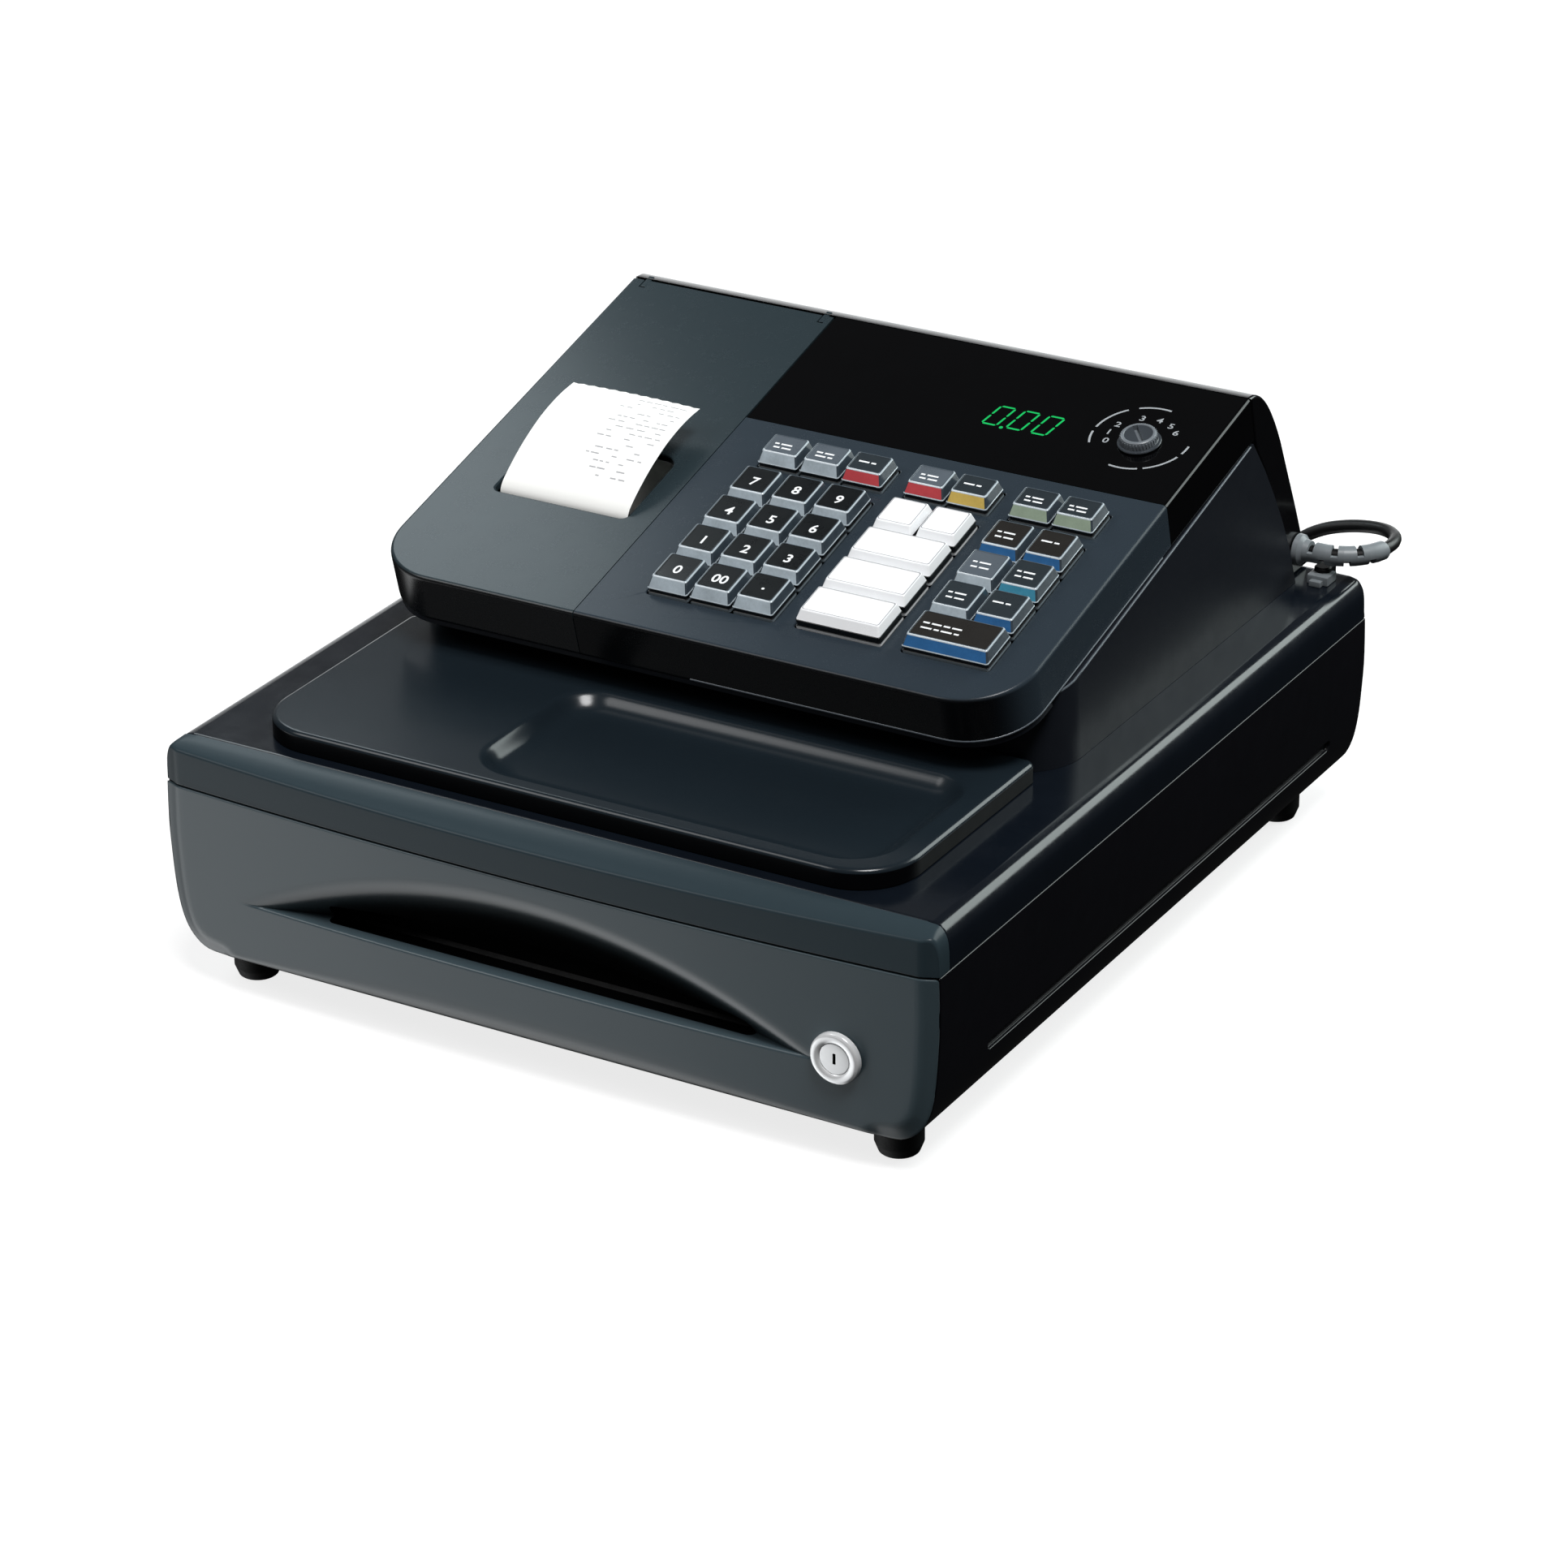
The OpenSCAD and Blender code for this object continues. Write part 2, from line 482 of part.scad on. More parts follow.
module key_4() color([0.1, 0.12, 0.14]) key(col_a[0], row[2], key_w, key_d);
module key_5() color([0.1, 0.12, 0.14]) key(col_a[1], row[2], key_w, key_d);
module key_6() color([0.1, 0.12, 0.14]) key(col_a[2], row[2], key_w, key_d);
module key_7() color([0.1, 0.12, 0.14]) key(col_a[0], row[3], key_w, key_d);
module key_8() color([0.1, 0.12, 0.14]) key(col_a[1], row[3], key_w, key_d);
module key_9() color([0.1, 0.12, 0.14]) key(col_a[2], row[3], key_w, key_d);
module key_dept_1() color("white") key(mid_b, row[0], wide_w, key_d);
module key_dept_2() color("white") key(mid_b, row[1], wide_w, key_d);
module key_dept_3() color("white") key(mid_b, row[2], wide_w, key_d);
module key_dept_4() color("white") key(col_b[0], row[3], key_w, key_d);
module key_dept_5() color("white") key(col_b[1], row[3], key_w, key_d);
module key_feed() color([0.4, 0.42, 0.44]) key(col_a[0], row_top, key_w, key_d_top);
module key_receipt() color([0.4, 0.42, 0.44]) key(col_a[1], row_top, key_w, key_d_top);
module key_clear() color([0.7, 0.2, 0.22]) key(col_a[2], row_top, key_w, key_d_top);
module key_void() color([0.7, 0.2, 0.22]) key(col_b[0], row_top, key_w, key_d_top);
module key_minus() color([0.75, 0.68, 0.35]) key(col_b[1], row_top, key_w, key_d_top);
module key_tax_1() color([0.6, 0.7, 0.6]) key(col_c[0], row_top, key_w, key_d_top);
module key_tax_2() color([0.6, 0.7, 0.65]) key(col_c[1], row_top, key_w, key_d_top);
module key_charge() color([0.2, 0.35, 0.55]) key(col_c[0], row[3], key_w, key_d);
module key_check() color([0.2, 0.35, 0.55]) key(col_c[1], row[3], key_w, key_d);
module key_no_sale() color([0.45, 0.47, 0.49]) key(col_c[0], row[2], key_w, key_d);
module key_paid_out() color([0.25, 0.45, 0.55]) key(col_c[1], row[2], key_w, key_d);
module key_received() color([0.45, 0.47, 0.49]) key(col_c[0], row[1], key_w, key_d);
module key_balance() color([0.2, 0.35, 0.55]) key(col_c[1], row[1], key_w, key_d);
module key_total() color([0.2, 0.35, 0.55]) key(mid_c, row[0], wide_w, key_d);

drawer_housing();
housing_top();
front_band();
rubber_feet();
tray_plate();
lower_case();
top_cover();
display_window();
rear_cover();
printer_cover();
printer_mechanism();
platen_roller();
paper_roll();
receipt();
mode_dial();
main_board();
drawer_front();
drawer_box();
till_insert();
note_clip_left();
note_clip_middle();
note_clip_right();
lock_bezel();
lock_plug();
drawer_latch();
strain_relief();
cord();
cord_coil();
plug();
key_0();
key_00();
key_point();
key_1();
key_2();
key_3();
key_4();
key_5();
key_6();
key_7();
key_8();
key_9();
key_dept_1();
key_dept_2();
key_dept_3();
key_dept_4();
key_dept_5();
key_feed();
key_receipt();
key_clear();
key_void();
key_minus();
key_tax_1();
key_tax_2();
key_charge();
key_check();
key_no_sale();
key_paid_out();
key_received();
key_balance();
key_total();
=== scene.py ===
import math

import bpy
import bmesh
from mathutils import Vector, Matrix


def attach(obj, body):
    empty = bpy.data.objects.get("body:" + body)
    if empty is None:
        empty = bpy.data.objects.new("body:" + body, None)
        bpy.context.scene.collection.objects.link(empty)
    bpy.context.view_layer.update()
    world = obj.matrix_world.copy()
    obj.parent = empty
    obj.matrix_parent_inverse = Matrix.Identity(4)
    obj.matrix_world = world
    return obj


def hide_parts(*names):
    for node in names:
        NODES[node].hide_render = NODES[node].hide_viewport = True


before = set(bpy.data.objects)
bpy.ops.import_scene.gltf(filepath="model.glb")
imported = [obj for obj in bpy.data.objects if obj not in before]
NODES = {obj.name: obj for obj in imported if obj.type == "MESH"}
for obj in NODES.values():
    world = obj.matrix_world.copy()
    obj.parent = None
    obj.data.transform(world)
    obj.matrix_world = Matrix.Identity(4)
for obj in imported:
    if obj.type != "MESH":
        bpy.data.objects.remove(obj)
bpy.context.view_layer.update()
KEEP_OUT = bpy.context.scene.collection

MM = 0.001
T = math.radians(14.5)
ST, CT = math.sin(T), math.cos(T)
rad = math.radians


def slope(u, v, w=0.0):
    return (u, -76 + CT * v - ST * w, 136.9 + ST * v + CT * w)


# ---------------------------------------------------------------- camera
def make_camera():
    a, e, r = rad(30.39), rad(25.79), rad(-0.54)
    back = Vector((math.sin(a) * math.cos(e), -math.cos(a) * math.cos(e), math.sin(e)))
    right = Vector((math.cos(a), math.sin(a), 0))
    up = back.cross(right)
    right2 = math.cos(r) * right + math.sin(r) * up
    up2 = -math.sin(r) * right + math.cos(r) * up
    cam = bpy.data.objects.new("camera", bpy.data.cameras.new("camera"))
    cam.data.lens = 125.53
    cam.data.sensor_width = 36
    cam.data.clip_start = 0.05
    cam.data.clip_end = 60
    rot = Matrix((right2, up2, back)).transposed().to_4x4()
    cam.matrix_world = Matrix.Translation(Vector((949.8, -1617.2, 951.6)) * MM) @ rot
    KEEP_OUT.objects.link(cam)
    bpy.context.scene.camera = cam


make_camera()


# ---------------------------------------------------------------- numbers
def lerp_table(tab, x):
    if x <= tab[0][0]:
        return tab[0][1]
    for (x0, y0), (x1, y1) in zip(tab, tab[1:]):
        if x <= x1:
            return y0 + (y1 - y0) * (x - x0) / (x1 - x0)
    return tab[-1][1]


class Pchip:
    """Monotone cubic through a table, so that a smooth outline follows the CAD's own points."""

    def __init__(self, xs, ys):
        self.x, self.y = list(xs), list(ys)
        n = len(xs)
        h = [xs[i + 1] - xs[i] for i in range(n - 1)]
        d = [(ys[i + 1] - ys[i]) / h[i] for i in range(n - 1)]
        m = [0.0] * n
        for i in range(1, n - 1):
            if d[i - 1] * d[i] > 0:
                w1, w2 = 2 * h[i] + h[i - 1], h[i] + 2 * h[i - 1]
                m[i] = (w1 + w2) / (w1 / d[i - 1] + w2 / d[i])
        m[0], m[-1] = d[0], d[-1]
        self.m = m

    def __call__(self, t):
        x, y, m = self.x, self.y, self.m
        if t <= x[0]:
            return y[0]
        if t >= x[-1]:
            return y[-1]
        i = 0
        while t > x[i + 1]:
            i += 1
        h = x[i + 1] - x[i]
        s = (t - x[i]) / h
        return ((1 + 2 * s) * (1 - s) ** 2 * y[i] + s * (1 - s) ** 2 * h * m[i]
                + s * s * (3 - 2 * s) * y[i + 1] + s * s * (s - 1) * h * m[i + 1])


def smax(a, b, k):
    d = abs(a - b)
    return max(a, b) + ((k - d) ** 2 / (4 * k) if d < k else 0.0)


def smin(a, b, k):
    return -smax(-a, -b, k)


def catmull(pts, step):
    """Points every step along a centripetal curve through pts."""
    P = [Vector(p) for p in pts]
    out = []
    for i in range(len(P) - 1):
        p0 = P[i - 1] if i else P[0] * 2 - P[1]
        p1, p2 = P[i], P[i + 1]
        p3 = P[i + 2] if i + 2 < len(P) else P[-1] * 2 - P[-2]
        t0 = 0.0
        t1 = t0 + max((p1 - p0).length, 1e-6) ** 0.5
        t2 = t1 + max((p2 - p1).length, 1e-6) ** 0.5
        t3 = t2 + max((p3 - p2).length, 1e-6) ** 0.5
        n = max(1, int(round((p2 - p1).length / step)))
        for j in range(n):
            t = t1 + (t2 - t1) * j / n
            a1 = p0 * ((t1 - t) / (t1 - t0)) + p1 * ((t - t0) / (t1 - t0))
            a2 = p1 * ((t2 - t) / (t2 - t1)) + p2 * ((t - t1) / (t2 - t1))
            a3 = p2 * ((t3 - t) / (t3 - t2)) + p3 * ((t - t2) / (t3 - t2))
            b1 = a1 * ((t2 - t) / (t2 - t0)) + a2 * ((t - t0) / (t2 - t0))
            b2 = a2 * ((t3 - t) / (t3 - t1)) + a3 * ((t - t1) / (t3 - t1))
            out.append(b1 * ((t2 - t) / (t2 - t1)) + b2 * ((t - t1) / (t2 - t1)))
    out.append(P[-1])
    return out


def rrect(x0, x1, y0, y1, rf, rr=None, n=10, d=0.0):
    """Rounded rectangle, counter-clockwise, rf at its front corners and rr at its rear ones, inset by d."""
    rr = rf if rr is None else rr
    x0, x1, y0, y1 = x0 + d, x1 - d, y0 + d, y1 - d
    rf, rr = max(rf - d, 0.02), max(rr - d, 0.02)
    out = []
    for cx, cy, r, a0 in ((x1 - rf, y0 + rf, rf, -90), (x1 - rr, y1 - rr, rr, 0),
                          (x0 + rr, y1 - rr, rr, 90), (x0 + rf, y0 + rf, rf, 180)):
        for i in range(n + 1):
            a = rad(a0 + 90 * i / n)
            out.append((cx + r * math.cos(a), cy + r * math.sin(a)))
    return out


# ---------------------------------------------------------------- mesh building
def outward(bm):
    """Turns each closed island of faces so that its volume is positive."""
    bmesh.ops.recalc_face_normals(bm, faces=list(bm.faces))
    left = set(bm.faces)
    while left:
        stack = [left.pop()]
        isle = list(stack)
        while stack:
            for e in stack.pop().edges:
                for g in e.link_faces:
                    if g in left:
                        left.discard(g)
                        isle.append(g)
                        stack.append(g)
        vol = 0.0
        for f in isle:
            vs = [l.vert.co for l in f.loops]
            for i in range(1, len(vs) - 1):
                vol += vs[0].dot(vs[i].cross(vs[i + 1]))
        if vol < 0:
            bmesh.ops.reverse_faces(bm, faces=isle)


class Build:
    def __init__(self):
        self.bm = bmesh.new()

    def ring(self, pts):
        return [self.bm.verts.new(Vector(p) * MM) for p in pts]

    def face(self, vs, mat=0):
        seen = []
        for v in vs:
            if v not in seen:
                seen.append(v)
        if len(seen) < 3:
            return None
        try:
            f = self.bm.faces.new(seen)
        except ValueError:
            return None
        f.material_index = mat
        return f

    def skin(self, rings, closed=True, mat=0, mats=None):
        for k, (a, b) in enumerate(zip(rings, rings[1:])):
            n = len(a)
            for i in range(n if closed else n - 1):
                j = (i + 1) % n
                self.face([a[i], a[j], b[j], b[i]], mats[k] if mats else mat)

    def cap(self, ring, mat=0, flip=False):
        """Closes a ring with a single face."""
        vs = list(reversed(ring)) if flip else list(ring)
        return self.face(vs, mat)

    def fill(self, loops, mat=0):
        """A flat face bounded by loops, the later ones being holes."""
        edges = []
        for lp in loops:
            for i in range(len(lp)):
                a, b = lp[i], lp[(i + 1) % len(lp)]
                e = self.bm.edges.get((a, b)) or self.bm.edges.new((a, b))
                edges.append(e)
        res = bmesh.ops.triangle_fill(self.bm, use_beauty=True, use_dissolve=False, edges=edges)
        for g in res["geom"]:
            if isinstance(g, bmesh.types.BMFace):
                g.material_index = mat

    def box(self, x0, x1, y0, y1, z0, z1, b=0.0, f=None, mat=0):
        """A box with its edges bevelled by b, its corners passed through f."""
        tmp = bmesh.new()
        bmesh.ops.create_cube(tmp, size=1)
        for v in tmp.verts:
            v.co = Vector(((x0 + x1) / 2 + v.co.x * (x1 - x0), (y0 + y1) / 2 + v.co.y * (y1 - y0), (z0 + z1) / 2 + v.co.z * (z1 - z0)))
        if b:
            bmesh.ops.bevel(tmp, geom=list(tmp.edges), offset=b, segments=2, profile=0.6, affect="EDGES")
        m = {}
        for v in tmp.verts:
            p = f(*v.co) if f else v.co
            m[v] = self.bm.verts.new(Vector(p) * MM)
        for fc in tmp.faces:
            g = self.bm.faces.new([m[v] for v in fc.verts])
            g.material_index = mat
        tmp.free()

    def lathe(self, profile, axis, at, n=48, mat=0, a0=0.0, mats=None):
        """Closed solid of revolution: profile is (radius, height) from the axis at one end to the axis at the other."""
        ax = Vector(axis).normalized()
        s = ax.orthogonal().normalized() if abs(ax.z) > 0.99 or abs(ax.x) > 0.99 else Vector((1, 0, 0))
        s = (s - ax * s.dot(ax)).normalized()
        t = ax.cross(s)
        at = Vector(at)
        rings = []
        for r, h in profile:
            if r < 1e-6:
                v = self.bm.verts.new((at + ax * h) * MM)
                rings.append([v] * n)
            else:
                rings.append(self.ring([at + ax * h + (s * math.cos(a0 + 2 * math.pi * i / n) + t * math.sin(a0 + 2 * math.pi * i / n)) * r for i in range(n)]))
        self.skin(rings, True, mat, mats)

    def tube(self, pts, r, n=12, caps=True, mat=0, up=None):
        P = [Vector(p) for p in pts]
        rings = []
        prev = None
        for i, p in enumerate(P):
            t = (P[min(i + 1, len(P) - 1)] - P[max(i - 1, 0)]).normalized()
            if prev is None:
                s = t.orthogonal().normalized() if up is None else (Vector(up) - t * Vector(up).dot(t)).normalized()
            else:
                s = (prev - t * prev.dot(t)).normalized()
            prev = s
            q = t.cross(s)
            rr = r[i] if isinstance(r, (list, tuple)) else r
            rings.append(self.ring([p + (s * math.cos(2 * math.pi * k / n) + q * math.sin(2 * math.pi * k / n)) * rr for k in range(n)]))
        self.skin(rings, True, mat)
        if caps:
            self.cap(rings[0], mat, True)
            self.cap(rings[-1], mat)

    def done(self, name, mats, body=None, replaces=(), sharp=32, merge=0.002, weighted=True, recalc=True):
        bm = self.bm
        if merge:
            bmesh.ops.remove_doubles(bm, verts=list(bm.verts), dist=merge * MM)
        loose = [v for v in bm.verts if not v.link_faces]
        bmesh.ops.delete(bm, geom=loose, context="VERTS")
        if recalc:
            outward(bm)
        me = bpy.data.meshes.new(name)
        bm.to_mesh(me)
        bm.free()
        ob = bpy.data.objects.new(name, me)
        KEEP_OUT.objects.link(ob)
        for m in (mats if isinstance(mats, (list, tuple)) else [mats]):
            me.materials.append(m)
        return finish_mesh(ob, body, replaces, sharp, weighted)


def finish_mesh(ob, body=None, replaces=(), sharp=32, weighted=True):
    me = ob.data
    me.shade_smooth()
    if sharp:
        me.set_sharp_from_angle(angle=rad(sharp))
    if weighted:
        m = ob.modifiers.new("wn", "WEIGHTED_NORMAL")
        m.keep_sharp = True
        m.weight = 80
        bake(ob)
    if replaces:
        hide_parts(*replaces)
    if body:
        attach(ob, body)
    return ob


def bake(ob):
    """Applies the object's modifiers."""
    dg = bpy.context.evaluated_depsgraph_get()
    dg.update()
    me = bpy.data.meshes.new_from_object(ob.evaluated_get(dg), preserve_all_data_layers=True, depsgraph=dg)
    old = ob.data
    ob.modifiers.clear()
    ob.data = me
    me.name = old.name
    bpy.data.meshes.remove(old)


def cut(ob, tool, op="DIFFERENCE", own=False):
    """Exact boolean with a tool object, which is used up."""
    m = ob.modifiers.new("cut", "BOOLEAN")
    m.operation = op
    m.solver = "EXACT"
    m.use_self = own
    m.object = tool
    bake(ob)
    me = tool.data
    bpy.data.objects.remove(tool)
    bpy.data.meshes.remove(me)


def raw(build, name="tool", mats=()):
    """The mesh as it is, for a boolean."""
    bm = build.bm
    bmesh.ops.remove_doubles(bm, verts=list(bm.verts), dist=0.002 * MM)
    outward(bm)
    me = bpy.data.meshes.new(name)
    bm.to_mesh(me)
    bm.free()
    ob = bpy.data.objects.new(name, me)
    KEEP_OUT.objects.link(ob)
    for m in mats:
        me.materials.append(m)
    return ob


def solidify(build, name, thick, mats=()):
    """Gives an open skin a wall on its inner side; the result is closed. The widest level face looks up."""
    ob = raw(build, name, mats)
    top = max((p for p in ob.data.polygons if abs(p.normal.z) > 0.7), key=lambda p: p.area)
    if top.normal.z < 0:
        ob.data.flip_normals()
    m = ob.modifiers.new("s", "SOLIDIFY")
    m.thickness = thick * MM
    m.offset = -1
    m.use_even_offset = True
    m.use_quality_normals = True
    bake(ob)
    bm = bmesh.new()
    bm.from_mesh(ob.data)
    outward(bm)
    bm.to_mesh(ob.data)
    bm.free()
    return ob


def bisect(bm, co, no, fill=False):
    """Cuts away the side that no points to."""
    geom = list(bm.verts) + list(bm.edges) + list(bm.faces)
    res = bmesh.ops.bisect_plane(bm, geom=geom, dist=1e-7, plane_co=Vector(co) * MM, plane_no=Vector(no), clear_outer=True, clear_inner=False)
    if fill:
        edges = [g for g in res["geom_cut"] if isinstance(g, bmesh.types.BMEdge)]
        if edges:
            bmesh.ops.triangle_fill(bm, use_beauty=True, use_dissolve=False, edges=edges)


def cut_plane(ob, co, no):
    """Cuts a closed mesh by a plane and closes it again; the side that no points to goes."""
    n = Vector(no).normalized()
    a = n.orthogonal().normalized()
    c = n.cross(a)
    t = Build()
    t.box(-700, 700, -700, 700, 0, 700, 0, lambda x, y, z: Vector(co) + a * x + c * y + n * z)
    cut(ob, raw(t, mats=[m for m in ob.data.materials][:1]))


# ---------------------------------------------------------------- materials
def srgb(r, g, b):
    def f(c):
        c /= 255
        return c / 12.92 if c <= 0.04045 else ((c + 0.055) / 1.055) ** 2.4
    return (f(r), f(g), f(b))


class Nodes:
    def __init__(self, name):
        self.mat = bpy.data.materials.new(name)
        self.mat.use_nodes = True
        self.nt = self.mat.node_tree
        self.nt.nodes.clear()
        self.out = self.nt.nodes.new("ShaderNodeOutputMaterial")
        self.b = self.nt.nodes.new("ShaderNodeBsdfPrincipled")
        self.link(self.b.outputs[0], self.out.inputs[0])
        self.tc = self.nt.nodes.new("ShaderNodeTexCoord")

    def link(self, a, b):
        self.nt.links.new(a, b)

    def node(self, kind, **kw):
        n = self.nt.nodes.new(kind)
        for k, v in kw.items():
            setattr(n, k, v)
        return n

    def noise(self, scale, detail=3.0, rough=0.55, vec=None, stretch=None):
        n = self.node("ShaderNodeTexNoise")
        n.inputs["Scale"].default_value = scale
        n.inputs["Detail"].default_value = detail
        n.inputs["Roughness"].default_value = rough
        src = vec or self.tc.outputs["Object"]
        if stretch:
            mp = self.node("ShaderNodeMapping")
            mp.inputs["Scale"].default_value = stretch
            self.link(src, mp.inputs["Vector"])
            src = mp.outputs[0]
        self.link(src, n.inputs["Vector"])
        return n.outputs["Fac"]

    def maprange(self, src, a, b, c, d, smooth=False):
        n = self.node("ShaderNodeMapRange")
        if smooth:
            n.interpolation_type = "SMOOTHSTEP"
        for k, v in zip(("From Min", "From Max", "To Min", "To Max"), (a, b, c, d)):
            n.inputs[k].default_value = v
        self.link(src, n.inputs["Value"])
        return n.outputs["Result"]

    def mix(self, fac, a, b):
        n = self.node("ShaderNodeMix", data_type="RGBA")
        for sock, v in ((n.inputs["Factor"], fac), (n.inputs["A"], a), (n.inputs["B"], b)):
            if isinstance(v, (int, float)):
                sock.default_value = v
            elif isinstance(v, (tuple, list)):
                sock.default_value = (*v[:3], 1)
            else:
                self.link(v, sock)
        return n.outputs["Result"]

    def math(self, op, a, b=None, clamp=False):
        n = self.node("ShaderNodeMath", operation=op, use_clamp=clamp)
        for i, v in enumerate((a, b)):
            if v is None:
                continue
            if isinstance(v, (int, float)):
                n.inputs[i].default_value = v
            else:
                self.link(v, n.inputs[i])
        return n.outputs[0]

    def dot(self, vec, d):
        n = self.node("ShaderNodeVectorMath", operation="DOT_PRODUCT")
        self.link(vec, n.inputs[0])
        n.inputs[1].default_value = d
        return n.outputs["Value"]

    def bump(self, height, strength, dist, normal=None):
        n = self.node("ShaderNodeBump")
        n.inputs["Strength"].default_value = strength
        n.inputs["Distance"].default_value = dist * MM
        self.link(height, n.inputs["Height"])
        if normal:
            self.link(normal, n.inputs["Normal"])
        return n.outputs[0]


def plastic(name, color, rough=0.4, spec=0.5, var=0.10, rvar=0.05, grain=1900, bump=0.12, dist=0.03, coat=0.0, coat_rough=0.1, ior=1.5,
            wall=None, wall_dir=(0, -ST, CT), wall_lo=0.25, wall_hi=0.8, cloud=14, hollow_shade=None):
    """Moulded plastic: cloudy tone, faint grain in the gloss and the bump. The wall tone is painted shade, given to the
    faces that turn away from wall_dir; the hollow tone is painted shade in the drawer's pull.
    """
    m = Nodes(name)
    n1 = m.noise(grain, 2.0)
    n2 = m.noise(cloud, 4.0, 0.6)
    n3 = m.noise(cloud * 9, 3.0, 0.6)
    tone = m.math("ADD", m.maprange(n2, 0.3, 0.7, 0.0, 0.7), m.maprange(n3, 0.3, 0.7, 0.0, 0.3))
    lo = tuple(c * (1 - var) for c in color)
    hi = tuple(min(1, c * (1 + var)) for c in color)
    col = m.mix(tone, lo, hi)
    if hollow_shade:
        # painted shade: deeper behind the bowed face, darker, in the drawer's pull
        sep = m.node("ShaderNodeSeparateXYZ")
        m.link(m.tc.outputs["Object"], sep.inputs[0])
        bow = m.math("MULTIPLY", m.math("MULTIPLY", sep.outputs["X"], sep.outputs["X"]), 5.5 * MM / (161.0 * MM) ** 2)
        deep = m.math("SUBTRACT", m.math("ADD", sep.outputs["Y"], 177.5 * MM), bow)
        hollow_shade_mask = m.math("MULTIPLY", m.maprange(deep, 0.9 * MM, 11.0 * MM, 0, 1, True), m.maprange(sep.outputs["Z"], 39.0 * MM, 41.0 * MM, 0, 1))
        hollow_shade_mask = m.math("MULTIPLY", hollow_shade_mask, m.maprange(sep.outputs["Z"], 72.0 * MM, 76.0 * MM, 1, 0))
        col = m.mix(hollow_shade_mask, col, hollow_shade)
    if wall:
        # painted shade: faces turned away from wall_dir take the darker wall tone
        geo = m.node("ShaderNodeNewGeometry")
        f = m.maprange(m.dot(geo.outputs["Normal"], wall_dir), wall_lo, wall_hi, 0, 1, True)
        col = m.mix(f, wall, col)
    m.link(col, m.b.inputs["Base Color"])
    r = m.math("ADD", m.maprange(n1, 0.3, 0.7, rough - rvar * 0.4, rough + rvar * 0.4), m.maprange(n3, 0.3, 0.7, -rvar * 0.6, rvar * 0.6), True)
    m.link(r, m.b.inputs["Roughness"])
    m.link(m.bump(n1, bump, dist), m.b.inputs["Normal"])
    m.b.inputs["Specular IOR Level"].default_value = spec
    m.b.inputs["IOR"].default_value = ior
    if coat:
        m.b.inputs["Coat Weight"].default_value = coat
        m.b.inputs["Coat Roughness"].default_value = coat_rough
    return m.mat


def metal(name, color, rough=0.15, rvar=0.06, brushed=None, bump=0.05, metallic=1.0):
    m = Nodes(name)
    n1 = m.noise(700, 4.0, 0.6, stretch=brushed)
    n2 = m.noise(60, 3.0)
    m.link(m.mix(n2, tuple(c * 0.93 for c in color), color), m.b.inputs["Base Color"])
    m.link(m.maprange(n1, 0.3, 0.7, rough - rvar, rough + rvar), m.b.inputs["Roughness"])
    m.link(m.bump(n1, bump, 0.02), m.b.inputs["Normal"])
    m.b.inputs["Metallic"].default_value = metallic
    return m.mat


def rubber(name, color, rough=0.7, spec=0.3):
    m = Nodes(name)
    n1 = m.noise(2600, 3.0)
    n2 = m.noise(40, 3.0)
    m.link(m.mix(n2, tuple(c * 0.8 for c in color), tuple(c * 1.25 for c in color)), m.b.inputs["Base Color"])
    m.link(m.maprange(n1, 0.3, 0.7, rough - 0.08, rough + 0.08), m.b.inputs["Roughness"])
    m.link(m.bump(n1, 0.25, 0.05), m.b.inputs["Normal"])
    m.b.inputs["Specular IOR Level"].default_value = spec
    return m.mat


def paper(name, color):
    m = Nodes(name)
    fib = m.noise(1500, 5.0, 0.65, stretch=(1, 2.2, 1))
    big = m.noise(18, 2.0)
    m.link(m.mix(m.maprange(big, 0.3, 0.7, 0, 1), tuple(c * 0.97 for c in color), color), m.b.inputs["Base Color"])
    m.link(m.maprange(fib, 0.3, 0.7, 0.55, 0.7), m.b.inputs["Roughness"])
    m.link(m.bump(fib, 0.12, 0.03), m.b.inputs["Normal"])
    m.b.inputs["Specular IOR Level"].default_value = 0.3
    return m.mat


def glow(name, color, strength):
    m = Nodes(name)
    n = m.noise(220, 2.0)
    m.link(m.mix(n, tuple(c * 0.75 for c in color), color), m.b.inputs["Emission Color"])
    m.b.inputs["Emission Strength"].default_value = strength
    m.link(m.mix(n, (0.0, 0.02, 0.005), (0.0, 0.05, 0.015)), m.b.inputs["Base Color"])
    m.link(m.maprange(n, 0, 1, 0.2, 0.3), m.b.inputs["Roughness"])
    return m.mat


M = {}
# the case tone is darkened in the drawer's pull as painted shade
M["case"] = plastic("case_grey_plastic", srgb(60, 73, 79), rough=0.3, spec=0.45, var=0.02, rvar=0.01, bump=0.006, hollow_shade=srgb(10, 12, 14))
M["band"] = plastic("band_grey_plastic", srgb(44, 56, 62), rough=0.3, spec=0.15, var=0.02, rvar=0.01, bump=0.006)
# the covers' front walls take a painted shade
M["printer"] = plastic("printer_cover_plastic", srgb(38, 49, 54), rough=0.27, spec=0.35, var=0.02, rvar=0.01, bump=0.005, wall=srgb(9, 10, 12), wall_dir=(0, CT, ST), wall_lo=-0.85, wall_hi=-0.3)
M["cover"] = plastic("keyboard_cover_plastic", srgb(43, 52, 60), rough=0.27, spec=0.22, var=0.02, rvar=0.01, bump=0.005, wall=srgb(9, 10, 12), wall_dir=(0, CT, ST), wall_lo=-0.85, wall_hi=-0.3)
M["housing"] = plastic("housing_gloss_black", srgb(12, 12, 16), rough=0.2, spec=0.35, var=0.15, bump=0.012)
M["deck"] = plastic("deck_gloss_black", srgb(13, 18, 25), rough=0.17, spec=0.4, var=0.12, bump=0.01)
